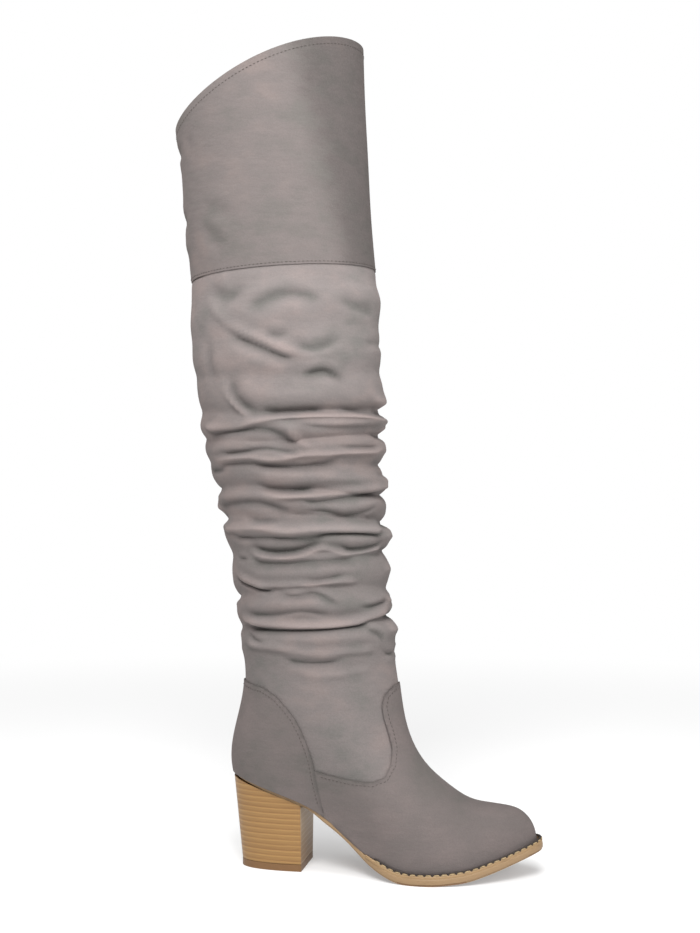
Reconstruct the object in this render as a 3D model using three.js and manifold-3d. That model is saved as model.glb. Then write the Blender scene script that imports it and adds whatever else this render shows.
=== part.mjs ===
// Thigh high boot for the right foot, with a slouched shaft, a stacked block heel and a stitched welt.
// Millimetres. +X points to the toe, +Y to the inner side of the foot and +Z up.
// The origin is on the floor under the heel's tread.

import * as THREE from 'three';
import Module from 'manifold-3d';
import { mergeVertices } from 'three/addons/utils/BufferGeometryUtils.js';

const wasm = await Module();
wasm.setup();

// Driving sizes of the last
const LAST_LENGTH = 225.5;
const BALL_WIDTH = 86;
const SEAT_HEIGHT = 70;
const TOE_SPRING = 19.5;
const ANKLE_HEIGHT = 140;
const ANKLE_DEPTH = 115;
const ANKLE_WIDTH = 79;
const ANKLE_FORWARD = 38;

// Driving sizes of the shaft
const BOOT_HEIGHT = 606;
const COLLAR_DROP = 60;
const COLLAR_SWEEP = 1.5;
const CUFF_LENGTH = 169.3;
const SEAM_TILT = 3.5;
const TOP_DEPTH = 146;
const TOP_WIDTH = 111;
const SHAFT_LEAN = 41.5;
const SLOUCH_PUFF = 6;
const TROUGH_SHARE = 0.35;
const TROUGH_SHARPNESS = 4;

// Walls, panels and clearances
const UPPER_WALL = 2.2;
const PANEL = 1;
const CUFF_WALL = 1.4;
const LEDGE_RISE = 0.6;
const LEDGE_WALL = 3;
const GAP = 0.3;
const SOLE_GAP = 0.4;
const INSOLE = 2.5;
const INSOLE_CLEARANCE = 1.2;

// Sole, welt and heel
const OUTSOLE = 5;
const WAIST_SOLE = 4.4;
const SEAT_SOLE = 2.4;
const WAIST_EDGE = 0.9;
const SEAT_INSET = 1.4;
const TREAD_LIP = 1.4;
const LIP_INSET = 0.6;
const EDGE_ROUND = 0.8;
const WELT_WIDTH = 2.8;
const WELT_HEIGHT = 2;
const WAIST_SHARE = 0.34;
const WELT_START_SHARE = 0.44;
const WELT_FULL_SHARE = 0.52;
const HEEL_TREAD_AHEAD = 27;
const HEEL_TREAD_BEHIND = 21.5;
const HEEL_TREAD_WIDTH = 43;
const HEEL_TOP_WIDTH = 49;
const HEEL_RAKE = 7;
const HEEL_INSET = 0.8;
const HEEL_SQUARENESS = 2.5;
const LIFT = 5;

// How finely the skins are cut: turns round the leg, rings up the foot and bands up the cuff, and how
// near two places lie that give a skin's direction
const TURNS = 32;
const FOOT_RINGS = 10;
const CUFF_BANDS = 4;
const FOLD_STEPS = [0, 0.3, 0.5, 0.7];
const SOFT_STEPS = [0, 0.5];
const SOFT_PUFF = 1.6;
const SOLE_TURNS = 64;
const HEEL_POINTS = 20;
const HEEL_BANDS = 3;
const NEARBY = 0.01;

// Places that follow from the driving sizes
const HEEL_TREAD_LENGTH = HEEL_TREAD_AHEAD + HEEL_TREAD_BEHIND;
const LAST_BACK = -HEEL_TREAD_BEHIND - HEEL_RAKE;
const TREAD_LEVEL = OUTSOLE + SOLE_GAP;
const SEAM_HEIGHT = BOOT_HEIGHT - CUFF_LENGTH;
const SLOUCH_HEIGHT = SEAM_HEIGHT - ANKLE_HEIGHT;
const PANEL_OUT = GAP + PANEL;
const CUFF_RECESS = CUFF_WALL + GAP;
const WELT_EDGE = PANEL_OUT + GAP + WELT_WIDTH;
const BREAST_SHARE = (HEEL_TREAD_AHEAD - LAST_BACK) / LAST_LENGTH;

// The last's bottom from the back of the seat to the toe: shares of the seat's height over the tread
// and of the toe spring
const LAST_BOTTOM = [
  { at: 0.0, seat: 1.0, spring: 0.0 },
  { at: 0.23, seat: 0.745, spring: 0.0 },
  { at: 0.32, seat: 0.61, spring: 0.0 },
  { at: 0.42, seat: 0.325, spring: 0.0 },
  { at: 0.5, seat: 0.09, spring: 0.0 },
  { at: 0.57, seat: 0.0, spring: 0.0 },
  { at: 0.695, seat: 0.0, spring: 0.0 },
  { at: 0.785, seat: 0.0, spring: 0.12 },
  { at: 0.86, seat: 0.0, spring: 0.4 },
  { at: 1.0, seat: 0.0, spring: 1.0 },
];

// The last's plan: half widths on the outer and inner side as shares of the ball width, on an oval
const LAST_PLAN = [
  { at: 0.0, outer: 0.5, inner: 0.5 },
  { at: 0.15, outer: 0.42, inner: 0.42 },
  { at: 0.3, outer: 0.335, inner: 0.325 },
  { at: 0.42, outer: 0.335, inner: 0.29 },
  { at: 0.55, outer: 0.44, inner: 0.375 },
  { at: 0.68, outer: 0.52, inner: 0.475 },
  { at: 0.8, outer: 0.5, inner: 0.535 },
  { at: 0.9, outer: 0.44, inner: 0.56 },
  { at: 1.0, outer: 0.36, inner: 0.58 },
];

// Lines up the foot from toe (0) to heel (1): how far each rises off the sole, swells out over it,
// drops from the ankle and flares there, as shares of the ankle height
const FOOT_LINES = [
  { at: 0.0, rise: 0.325, swell: 0.015, drop: 0.85, flare: 0.018 },
  { at: 0.146, rise: 0.27, swell: 0.03, drop: 0.6, flare: 0.02 },
  { at: 0.309, rise: 0.25, swell: 0.045, drop: 0.42, flare: 0.02 },
  { at: 0.5, rise: 0.24, swell: 0.055, drop: 0.27, flare: 0.01 },
  { at: 0.854, rise: 0.19, swell: 0.045, drop: 0.19, flare: 0.0 },
  { at: 1.0, rise: 0.16, swell: 0.04, drop: 0.17, flare: 0.0 },
];
const SIDE_SPREAD = 0.26;

// The shaft without its folds, from ankle (0) to collar (1): lean as a share of the shaft's lean,
// depth and width as shares of the way from the ankle's size to the collar's
const SHAFT_FORM = [
  { at: 0.0, lean: 0.0, depth: 0.0, width: 0.0 },
  { at: 0.107, lean: 0.13, depth: -0.1, width: 0.12 },
  { at: 0.24, lean: 0.3, depth: 0.08, width: 0.3 },
  { at: 0.3, lean: 0.385, depth: 0.22, width: 0.42 },
  { at: 0.345, lean: 0.49, depth: 0.44, width: 0.55 },
  { at: 0.44, lean: 0.58, depth: 0.68, width: 0.68 },
  { at: 0.54, lean: 0.67, depth: 0.86, width: 0.79 },
  { at: 0.635, lean: 0.7, depth: 0.81, width: 0.86 },
  { at: 0.75, lean: 0.83, depth: 0.86, width: 0.92 },
  { at: 0.81, lean: 0.85, depth: 0.86, width: 0.94 },
  { at: 0.875, lean: 0.94, depth: 0.95, width: 0.97 },
  { at: 1.0, lean: 1.0, depth: 1.0, width: 1.0 },
];

// The slouch folds from the ankle up. The first four columns say how high each ridge lies at the front,
// outer side, back and inner side, as shares of the slouch height; the puff columns say how far it
// stands out there, as shares of the slouch puff
const FOLDS = [
  {
    front: 0.122, outer: 0.108, back: 0.09, inner: 0.115,
    puffFront: 0.85, puffOuter: 0.75, puffBack: 0.35, puffInner: 0.6,
  },
  {
    front: 0.186, outer: 0.193, back: 0.16, inner: 0.185,
    puffFront: 0.45, puffOuter: 0.7, puffBack: 0.55, puffInner: 0.7,
  },
  {
    front: 0.264, outer: 0.274, back: 0.247, inner: 0.255,
    puffFront: 0.6, puffOuter: 0.6, puffBack: 0.5, puffInner: 0.75,
  },
  {
    front: 0.358, outer: 0.37, back: 0.362, inner: 0.345,
    puffFront: 1.05, puffOuter: 0.85, puffBack: 0.65, puffInner: 0.8,
  },
  {
    front: 0.43, outer: 0.445, back: 0.44, inner: 0.43,
    puffFront: 0.6, puffOuter: 0.6, puffBack: 0.6, puffInner: 0.5,
  },
  {
    front: 0.482, outer: 0.503, back: 0.51, inner: 0.5,
    puffFront: 1.1, puffOuter: 0.55, puffBack: 0.3, puffInner: 0.6,
  },
  {
    front: 0.578, outer: 0.558, back: 0.568, inner: 0.57,
    puffFront: 0.7, puffOuter: 0.5, puffBack: 0.35, puffInner: 0.6,
  },
  {
    front: 0.642, outer: 0.615, back: 0.622, inner: 0.63,
    puffFront: 1.1, puffOuter: 0.75, puffBack: 0.5, puffInner: 0.55,
  },
  {
    front: 0.703, outer: 0.693, back: 0.71, inner: 0.7,
    puffFront: 0.75, puffOuter: 0.55, puffBack: 0.2, puffInner: 0.6,
  },
  {
    front: 0.82, outer: 0.79, back: 0.8, inner: 0.79,
    puffFront: 0.2, puffOuter: 0.4, puffBack: 0.2, puffInner: 0.4,
  },
  {
    front: 0.94, outer: 0.905, back: 0.88, inner: 0.9,
    puffFront: 0.7, puffOuter: 0.35, puffBack: 0.25, puffInner: 0.35,
  },
];
const ANKLE_RIDGE = {
  front: 0, outer: 0, back: 0, inner: 0, puffFront: 0, puffOuter: 0, puffBack: 0, puffInner: 0,
};
const SEAM_RIDGE = {
  front: 1 + SEAM_TILT / SLOUCH_HEIGHT, outer: 1, back: 1 - SEAM_TILT / SLOUCH_HEIGHT, inner: 1,
  puffFront: 0, puffOuter: 0, puffBack: 0, puffInner: 0,
};

// Panel seams seen from the side: along the last and up to the ankle height, as shares of each
const VAMP_SEAM = [
  { along: 0.6, up: 0.992 },
  { along: 0.545, up: 0.975 },
  { along: 0.519, up: 0.93 },
  { along: 0.513, up: 0.875 },
  { along: 0.52, up: 0.81 },
  { along: 0.535, up: 0.735 },
  { along: 0.547, up: 0.66 },
  { along: 0.547, up: 0.585 },
  { along: 0.53, up: 0.53 },
  { along: 0.49, up: 0.508 },
  { along: 0.42, up: 0.513 },
  { along: 0.35, up: 0.53 },
  { along: 0.27, up: 0.555 },
];
const COUNTER_SEAM = [
  { along: -0.06, up: 1.005 },
  { along: 0.04, up: 0.985 },
  { along: 0.128, up: 0.965 },
  { along: 0.178, up: 0.925 },
  { along: 0.213, up: 0.87 },
  { along: 0.24, up: 0.82 },
  { along: 0.262, up: 0.755 },
  { along: 0.28, up: 0.685 },
  { along: 0.297, up: 0.595 },
  { along: 0.304, up: 0.515 },
  { along: 0.312, up: 0.44 },
  { along: 0.325, up: 0.35 },
  { along: 0.335, up: 0.2 },
];

const SUEDE = { color: 0x968d87, roughness: 0.92, metalness: 0 };
const PANEL_SUEDE = { color: 0x7d7570, roughness: 0.92, metalness: 0 };
const CUFF_SUEDE = { color: 0x8f8680, roughness: 0.92, metalness: 0 };
const LINING = { color: 0xc9bba4, roughness: 0.8, metalness: 0 };
const SOLE_TAN = { color: 0xb8946a, roughness: 0.6, metalness: 0 };
const WELT_TAN = { color: 0xc4a780, roughness: 0.65, metalness: 0 };
const HEEL_STACK = { color: 0xb08a56, roughness: 0.5, metalness: 0 };
const LIFT_BROWN = { color: 0x8a4a2a, roughness: 0.6, metalness: 0 };

// Smooth curve through one column of a table, with no overshoot between its rows
function readTable(rows, column, at) {
  const last = rows.length - 1;
  const place = THREE.MathUtils.clamp(at, rows[0].at, rows[last].at);
  let row = 0;
  while (row < last - 1 && place > rows[row + 1].at) {
    row += 1;
  }
  const secant = (k) => (rows[k + 1][column] - rows[k][column]) / (rows[k + 1].at - rows[k].at);
  const slope = (k) => {
    const before = secant(Math.max(k - 1, 0));
    const after = secant(Math.min(k, last - 1));
    return before * after > 0 ? (2 * before * after) / (before + after) : 0;
  };
  const span = rows[row + 1].at - rows[row].at;
  const t = (place - rows[row].at) / span;
  const start = rows[row][column] * (1 + 2 * t) * (1 - t) ** 2;
  const end = rows[row + 1][column] * t * t * (3 - 2 * t);
  const bend = slope(row) * t * (1 - t) ** 2 + slope(row + 1) * t * t * (t - 1);
  return start + end + bend * span;
}

// A value given at the front, outer side, back and inner side, carried smoothly round the leg
function aroundLeg(front, outer, back, inner, turn) {
  const middle = (front + outer + back + inner) / 4;
  const oval = (front + back - outer - inner) / 4;
  const fore = (front - back) / 2;
  const side = (inner - outer) / 2;
  return middle + oval * Math.cos(2 * turn) + fore * Math.cos(turn) + side * Math.sin(turn);
}

// Height of the last's bottom at a share of its length
function lastBottom(share) {
  const seat = readTable(LAST_BOTTOM, 'seat', share) * (SEAT_HEIGHT - TREAD_LEVEL);
  return TREAD_LEVEL + seat + readTable(LAST_BOTTOM, 'spring', share) * TOE_SPRING;
}

// A point of the feather line, where upper and sole meet, for a turn round the leg
function featherPoint(turn) {
  const oval = turn + SIDE_SPREAD * Math.sin(turn);
  const share = (1 + Math.cos(oval)) / 2;
  const side = Math.sin(oval) >= 0 ? 'inner' : 'outer';
  const halfWidth = readTable(LAST_PLAN, side, share) * BALL_WIDTH * Math.sin(oval);
  return new THREE.Vector3(LAST_BACK + LAST_LENGTH * share, halfWidth, lastBottom(share));
}

// The feather line's outward direction in plan
function featherOut(turn) {
  const ahead = featherPoint(turn + NEARBY);
  const behind = featherPoint(turn - NEARBY);
  return new THREE.Vector3(ahead.y - behind.y, behind.x - ahead.x, 0).normalize();
}

// A point of the shaft at a height, moved out from its bare form
function shaftPoint(turn, height, out) {
  const share = (height - ANKLE_HEIGHT) / (BOOT_HEIGHT - ANKLE_HEIGHT);
  const centre = ANKLE_FORWARD - SHAFT_LEAN * readTable(SHAFT_FORM, 'lean', share);
  const depth = THREE.MathUtils.lerp(ANKLE_DEPTH, TOP_DEPTH, readTable(SHAFT_FORM, 'depth', share));
  const width = THREE.MathUtils.lerp(ANKLE_WIDTH, TOP_WIDTH, readTable(SHAFT_FORM, 'width', share));
  const x = centre + (depth / 2 + out) * Math.cos(turn);
  return new THREE.Vector3(x, (width / 2 + out) * Math.sin(turn), height);
}

// A point of the foot, from the feather line (rise 0) to the ankle (rise 1), on one curved line
function footPoint(turn, rise) {
  const at = (1 - Math.cos(turn)) / 2;
  const length = (column) => readTable(FOOT_LINES, column, at) * ANKLE_HEIGHT;
  const start = featherPoint(turn);
  const end = shaftPoint(turn, ANKLE_HEIGHT, 0);
  const low = start.clone().addScaledVector(featherOut(turn), length('swell'));
  low.z += length('rise');
  const high = shaftPoint(turn, ANKLE_HEIGHT, length('flare'));
  high.z -= length('drop');
  return new THREE.CubicBezierCurve3(start, low, high, end).getPoint(rise);
}

// Outward direction of the foot's surface, level along the feather line so that walls stand on the sole
function footOut(turn, rise) {
  const across = footPoint(turn + NEARBY, rise).sub(footPoint(turn - NEARBY, rise));
  const above = Math.min(rise + NEARBY, 1);
  const below = Math.max(rise - NEARBY, 0);
  const up = footPoint(turn, above).sub(footPoint(turn, below));
  const out = across.cross(up).normalize();
  out.z *= THREE.MathUtils.smoothstep(rise, 0, 2 / FOOT_RINGS);
  return out.normalize();
}

// The collar is high at the front and slopes down to the back
function collarHeight(turn) {
  return BOOT_HEIGHT - COLLAR_DROP * ((1 - Math.cos(turn)) / 2) ** COLLAR_SWEEP;
}

// The cuff's seam is higher at the front than at the back
function seamHeight(turn) {
  return SEAM_HEIGHT + SEAM_TILT * Math.cos(turn);
}

function allTurns(count) {
  return Array.from({ length: count }, (_, i) => (2 * Math.PI * i) / count);
}

// One ring of the foot, moved out from the surface
function footRing(rise, out) {
  return allTurns(TURNS).map((turn) => footPoint(turn, rise).addScaledVector(footOut(turn, rise), out));
}

function footRises() {
  return Array.from({ length: FOOT_RINGS }, (_, i) => i / FOOT_RINGS);
}

// One ring of the slouch, part of the way from one ridge to the next
function foldRing(lower, upper, step, inset) {
  const pinch = 1 - (1 + TROUGH_SHARE) * Math.sin(Math.PI * step) ** TROUGH_SHARPNESS;
  return allTurns(TURNS).map((turn) => {
    const height = (fold) => aroundLeg(fold.front, fold.outer, fold.back, fold.inner, turn);
    const puff = (fold) => aroundLeg(fold.puffFront, fold.puffOuter, fold.puffBack, fold.puffInner, turn);
    const share = THREE.MathUtils.lerp(height(lower), height(upper), step);
    const stand = THREE.MathUtils.lerp(puff(lower), puff(upper), step) * SLOUCH_PUFF * pinch;
    return shaftPoint(turn, ANKLE_HEIGHT + share * SLOUCH_HEIGHT, stand - inset);
  });
}

function totalPuff(fold) {
  return fold.puffFront + fold.puffOuter + fold.puffBack + fold.puffInner;
}

// All rings of the slouch from the ankle to just under the cuff's seam, closer where the folds are deep
function slouchRings(inset) {
  const ridges = [ANKLE_RIDGE, ...FOLDS, SEAM_RIDGE];
  const rings = [];
  for (let i = 0; i < ridges.length - 1; i += 1) {
    const soft = totalPuff(ridges[i]) + totalPuff(ridges[i + 1]) < SOFT_PUFF * 2;
    const steps = soft ? SOFT_STEPS : FOLD_STEPS;
    steps.forEach((step) => rings.push(foldRing(ridges[i], ridges[i + 1], step, inset)));
  }
  return rings;
}

// One ring of the shaft at a height that is given for each turn
function shaftRing(heightAt, out) {
  return allTurns(TURNS).map((turn) => shaftPoint(turn, heightAt(turn), out));
}

// Rings from a little over the cuff's seam up to the sloping collar
function cuffRings(over, out) {
  return Array.from({ length: CUFF_BANDS + 1 }, (_, band) => {
    const share = band / CUFF_BANDS;
    return shaftRing((turn) => THREE.MathUtils.lerp(seamHeight(turn) + over, collarHeight(turn), share), out);
  });
}

function geometryOf(points, faces) {
  const geometry = new THREE.BufferGeometry().setFromPoints(points);
  geometry.setIndex(faces.flat());
  geometry.computeVertexNormals();
  return geometry;
}

// Faces between each ring and the next
function bandFaces(rings, joined) {
  const count = rings[0].length;
  const bands = joined ? rings.length : rings.length - 1;
  const faces = [];
  for (let band = 0; band < bands; band += 1) {
    const lower = band * count;
    const upper = ((band + 1) % rings.length) * count;
    for (let i = 0; i < count; i += 1) {
      const next = (i + 1) % count;
      faces.push([lower + i, lower + next, upper + next]);
      faces.push([lower + i, upper + next, upper + i]);
    }
  }
  return faces;
}

// Faces across one ring, between the points of its two sides, from its front to its back
function capFaces(left, right, facingUp) {
  const faces = [];
  for (let i = 0; i < left.length - 1; i += 1) {
    faces.push([left[i], left[i + 1], right[i + 1]]);
    faces.push([left[i], right[i + 1], right[i]]);
  }
  const whole = faces.filter((face) => new Set(face).size === 3);
  return facingUp ? whole : whole.map((face) => [face[0], face[2], face[1]]);
}

// A hollow wall: rings up its outside, then down its inside
function wallGeometry(outside, inside) {
  const rings = [...outside, ...inside.slice().reverse()];
  return geometryOf(rings.flat(), bandFaces(rings, true));
}

// A filled form between its first and last ring; an open ring starts and ends at two corners
function filledGeometry(rings, open) {
  const count = rings[0].length;
  const half = open ? (count - 1) / 2 : count / 2;
  const left = Array.from({ length: half + 1 }, (_, i) => i);
  const right = left.map((i) => (open ? count - 1 - i : (count - i) % count));
  const topStart = (rings.length - 1) * count;
  const raise = (side) => side.map((i) => i + topStart);
  const faces = [
    ...bandFaces(rings, false),
    ...capFaces(left, right, false),
    ...capFaces(raise(left), raise(right), true),
  ];
  return geometryOf(rings.flat(), faces);
}

function toSolid(geometry) {
  const bare = geometry.clone();
  bare.deleteAttribute('normal');
  bare.deleteAttribute('uv');
  const merged = mergeVertices(bare);
  return new wasm.Manifold(new wasm.Mesh({
    numProp: 3,
    vertProperties: new Float32Array(merged.attributes.position.array),
    triVerts: new Uint32Array(merged.index.array),
  }));
}

function toGeometry(solid) {
  const mesh = solid.getMesh();
  const geometry = new THREE.BufferGeometry();
  geometry.setAttribute('position', new THREE.BufferAttribute(mesh.vertProperties, 3));
  geometry.setIndex(new THREE.BufferAttribute(mesh.triVerts, 1));
  geometry.computeVertexNormals();
  return geometry;
}

function makeMesh(name, geometry, finish) {
  const mesh = new THREE.Mesh(geometry, new THREE.MeshStandardMaterial(finish));
  mesh.name = name;
  return mesh;
}

// The upper: one wall from the feather line over the foot and the slouch to the collar, stepped in
// where the cuff lies on it
function makeUpper() {
  const outside = [
    ...footRises().map((rise) => footRing(rise, 0)),
    ...slouchRings(0),
    shaftRing(seamHeight, 0),
    ...cuffRings(LEDGE_RISE, -CUFF_RECESS),
  ];
  const innerInset = CUFF_RECESS + UPPER_WALL;
  const inside = [
    ...footRises().map((rise) => footRing(rise, -UPPER_WALL)),
    ...slouchRings(UPPER_WALL),
    shaftRing((turn) => seamHeight(turn) - LEDGE_WALL, -innerInset),
    ...cuffRings(LEDGE_RISE, -innerInset),
  ];
  return makeMesh('upper', wallGeometry(outside, inside), SUEDE);
}

// The cuff: a sleeve in the upper's recess, flush with the shaft under it
function makeCuff() {
  const outside = cuffRings(LEDGE_RISE + GAP, 0);
  const inside = cuffRings(LEDGE_RISE + GAP, -CUFF_WALL);
  return makeMesh('cuff', wallGeometry(outside, inside), CUFF_SUEDE);
}

// The foot as a filled form, moved out from the upper's surface and lengthened past both ends
function footForm(out, past) {
  const rings = footRises().map((rise) => footRing(rise, out));
  rings.push(shaftRing(() => ANKLE_HEIGHT, out));
  if (past > 0) {
    const shift = (ring, dz) => ring.map((point) => point.clone().setZ(point.z + dz));
    rings.unshift(shift(rings[0], -past));
    rings.push(shift(rings[rings.length - 1], past));
  }
  return toSolid(filledGeometry(rings, false));
}

// The layer that the foot's panels are cut from
function panelLayer() {
  return footForm(PANEL_OUT, 0).subtract(footForm(GAP, SEAT_HEIGHT));
}

// A seam as points in the side view
function seamPoints(seam, shift) {
  const points = seam.map((row) => new THREE.Vector2(
    LAST_BACK + LAST_LENGTH * row.along + shift,
    ANKLE_HEIGHT * row.up,
  ));
  return new THREE.SplineCurve(points).getPoints(seam.length * 2);
}

// A side outline pushed through the foot from side to side
function sideCutter(outline) {
  const reach = BALL_WIDTH * 2;
  const geometry = new THREE.ExtrudeGeometry(new THREE.Shape(outline), {
    depth: reach, bevelEnabled: false, steps: 1,
  });
  geometry.translate(0, 0, -reach / 2);
  geometry.rotateX(Math.PI / 2);
  return toSolid(geometry);
}

function makeCounter() {
  const seam = seamPoints(COUNTER_SEAM, 0);
  const back = LAST_BACK - BALL_WIDTH;
  const outline = [new THREE.Vector2(back, 0), ...seam.slice().reverse(), new THREE.Vector2(back, seam[0].y)];
  return makeMesh('counter', toGeometry(panelLayer().intersect(sideCutter(outline))), PANEL_SUEDE);
}

// The vamp starts in front of the counter's seam and runs under the shaft's edge to the toe
function makeVamp() {
  const top = seamPoints(VAMP_SEAM, 0);
  const behind = seamPoints(COUNTER_SEAM, GAP * 2);
  const meeting = behind.findIndex((point) => point.y < top[top.length - 1].y);
  const front = LAST_BACK + LAST_LENGTH + BALL_WIDTH;
  const outline = [
    ...top.filter((point) => point.x > behind[meeting].x),
    ...behind.slice(meeting),
    new THREE.Vector2(front, behind[behind.length - 1].y - SEAT_HEIGHT),
    new THREE.Vector2(front, top[0].y),
  ];
  return makeMesh('vamp', toGeometry(panelLayer().intersect(sideCutter(outline))), PANEL_SUEDE);
}

// Height of the upper's lower edge at a place along the foot, straight between the upper's own points
function edgeHeight(x) {
  const knots = allTurns(TURNS).slice(0, TURNS / 2 + 1).map((turn) => featherPoint(turn));
  const passed = knots.findIndex((knot) => knot.x <= x);
  const after = passed < 0 ? TURNS / 2 : Math.max(passed, 1);
  const front = knots[after - 1];
  const back = knots[after];
  return THREE.MathUtils.mapLinear(x, back.x, front.x, back.z, front.z);
}

// Share of the way along the last, from the heel's back
function shareAt(x) {
  return (x - LAST_BACK) / LAST_LENGTH;
}

// How far the sole's edge stands out from the feather line
function soleEdge(share) {
  const waist = THREE.MathUtils.smoothstep(share, BREAST_SHARE, WAIST_SHARE);
  const fore = THREE.MathUtils.smoothstep(share, WELT_START_SHARE, WELT_FULL_SHARE);
  return -SEAT_INSET + (SEAT_INSET + WAIST_EDGE) * waist + (WELT_EDGE - WAIST_EDGE) * fore;
}

function soleThickness(share) {
  const waist = THREE.MathUtils.smoothstep(share, BREAST_SHARE, WAIST_SHARE);
  const fore = THREE.MathUtils.smoothstep(share, WELT_START_SHARE, WELT_FULL_SHARE);
  return SEAT_SOLE + (WAIST_SOLE - SEAT_SOLE) * waist + (OUTSOLE - WAIST_SOLE) * fore;
}

// A ring of the sole: out from its edge, and a share of its thickness down from its top
function soleRing(out, down, lower) {
  return allTurns(SOLE_TURNS).map((turn) => {
    const feather = featherPoint(turn);
    const share = shareAt(feather.x);
    const point = feather.clone().addScaledVector(featherOut(turn), soleEdge(share) + out);
    point.z = edgeHeight(feather.x) - SOLE_GAP - down * soleThickness(share) - lower;
    return point;
  });
}

// The outsole, with a dark tread lip stepped back under its rounded edge
function makeOutsole() {
  const lip = TREAD_LIP / OUTSOLE;
  const rings = [
    soleRing(-LIP_INSET, 1, 0),
    soleRing(-LIP_INSET, 1 - lip, 0),
    soleRing(0, 1 - lip, 0),
    soleRing(0, 0, EDGE_ROUND),
    soleRing(-EDGE_ROUND / 2, 0, 0),
  ];
  return makeMesh('outsole', filledGeometry(rings, false), SOLE_TAN);
}

// Turns of the welt, from the outer waist round the toe to the inner waist
function weltTurns() {
  const turns = allTurns(SOLE_TURNS).map((turn) => (turn > Math.PI ? turn - 2 * Math.PI : turn));
  const ahead = turns.filter((turn) => shareAt(featherPoint(turn).x) > WELT_START_SHARE);
  return ahead.sort((a, b) => a - b);
}

// The welt: a strip on the sole's ledge that hugs the vamp
function makeWelt() {
  const sections = weltTurns().map((turn) => {
    const feather = featherPoint(turn);
    const share = shareAt(feather.x);
    const outward = featherOut(turn);
    const at = (1 - Math.cos(turn)) / 2;
    const rise = readTable(FOOT_LINES, 'rise', at);
    const swell = (readTable(FOOT_LINES, 'swell', at) / rise) * WELT_HEIGHT;
    const inner = PANEL_OUT + GAP + swell;
    const edge = Math.max(soleEdge(share), inner + WELT_WIDTH / 2) - EDGE_ROUND / 2;
    const floor = edgeHeight(feather.x);
    const corner = (out, up) => feather.clone().addScaledVector(outward, out).setZ(floor + up);
    return [
      corner(inner, 0),
      corner(inner, WELT_HEIGHT),
      corner(edge - EDGE_ROUND, WELT_HEIGHT),
      corner(edge, WELT_HEIGHT - EDGE_ROUND),
      corner(edge, 0),
    ];
  });
  const faces = bandFaces(sections, false);
  const last = (sections.length - 1) * sections[0].length;
  const fan = [[0, 1, 2], [0, 2, 3], [0, 3, 4]];
  fan.forEach(([a, b, c]) => faces.push([a, c, b], [last + a, last + b, last + c]));
  return makeMesh('welt', geometryOf(sections.flat(), faces), WELT_TAN);
}

// The insole lies inside the upper's wall on the outsole
function makeInsole() {
  const ring = (up) => footRing(0, -UPPER_WALL - INSOLE_CLEARANCE).map((point) => point.setZ(point.z + up));
  return makeMesh('insole', filledGeometry([ring(0), ring(INSOLE)], false), LINING);
}

// A D shaped loop: straight breast, round back
function heelLoop(length, width, heightAt) {
  const power = 2 / HEEL_SQUARENESS;
  return Array.from({ length: HEEL_POINTS * 2 + 1 }, (_, i) => {
    const angle = (Math.PI / 2) * (1 - i / HEEL_POINTS);
    const x = HEEL_TREAD_AHEAD - length * Math.abs(Math.cos(angle)) ** power;
    const y = (width / 2) * Math.sign(angle) * Math.abs(Math.sin(angle)) ** power;
    return new THREE.Vector3(x, y, heightAt(x));
  });
}

// Underside of the outsole over the heel
function seatUnder(x) {
  return edgeHeight(Math.max(x, LAST_BACK)) - SOLE_GAP - GAP - SEAT_SOLE;
}

// The stacked block heel narrows to its tread
function makeHeel() {
  const topLength = HEEL_TREAD_LENGTH + HEEL_RAKE - HEEL_INSET;
  const rings = Array.from({ length: HEEL_BANDS + 1 }, (_, band) => {
    const up = band / HEEL_BANDS;
    const length = THREE.MathUtils.lerp(HEEL_TREAD_LENGTH, topLength, up);
    const width = THREE.MathUtils.lerp(HEEL_TREAD_WIDTH, HEEL_TOP_WIDTH, up);
    const base = LIFT + GAP;
    return heelLoop(length, width, (x) => THREE.MathUtils.lerp(base, seatUnder(x), up));
  });
  return makeMesh('heel', filledGeometry(rings, true), HEEL_STACK);
}

function makeLift() {
  const loop = (height) => heelLoop(HEEL_TREAD_LENGTH, HEEL_TREAD_WIDTH, () => height);
  return makeMesh('heel_lift', filledGeometry([loop(0), loop(LIFT)], true), LIFT_BROWN);
}

const group = new THREE.Group();
group.add(makeUpper());
group.add(makeCuff());
group.add(makeCounter());
group.add(makeVamp());
group.add(makeInsole());
group.add(makeOutsole());
group.add(makeWelt());
group.add(makeHeel());
group.add(makeLift());

export default group;
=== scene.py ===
"""Thigh high boot in grey faux suede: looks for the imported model, built on its own frame."""

import logging
import math
from collections.abc import Callable
from dataclasses import dataclass, replace
from enum import Enum

import bmesh
import bpy
import numpy as np
from mathutils import Matrix, Vector
from mathutils.bvhtree import BVHTree


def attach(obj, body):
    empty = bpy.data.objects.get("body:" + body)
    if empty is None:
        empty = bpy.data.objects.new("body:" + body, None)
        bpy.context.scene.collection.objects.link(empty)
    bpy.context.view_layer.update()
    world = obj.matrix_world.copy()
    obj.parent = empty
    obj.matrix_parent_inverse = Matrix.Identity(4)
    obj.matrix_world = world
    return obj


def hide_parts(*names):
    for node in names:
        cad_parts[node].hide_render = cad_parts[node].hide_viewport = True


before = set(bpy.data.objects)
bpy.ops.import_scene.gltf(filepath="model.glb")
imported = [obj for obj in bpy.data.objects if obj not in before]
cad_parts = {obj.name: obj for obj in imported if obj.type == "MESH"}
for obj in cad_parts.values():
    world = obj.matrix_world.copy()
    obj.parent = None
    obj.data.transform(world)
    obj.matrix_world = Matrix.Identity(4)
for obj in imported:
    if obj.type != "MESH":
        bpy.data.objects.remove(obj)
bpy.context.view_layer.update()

log = logging.getLogger("boot")

MM = 0.001
DEGREE = 1.1 * MM


class Side(Enum):
    """The sides of the right foot, as the way that each looks along Y."""

    OUTER = -1
    INNER = 1


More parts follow.
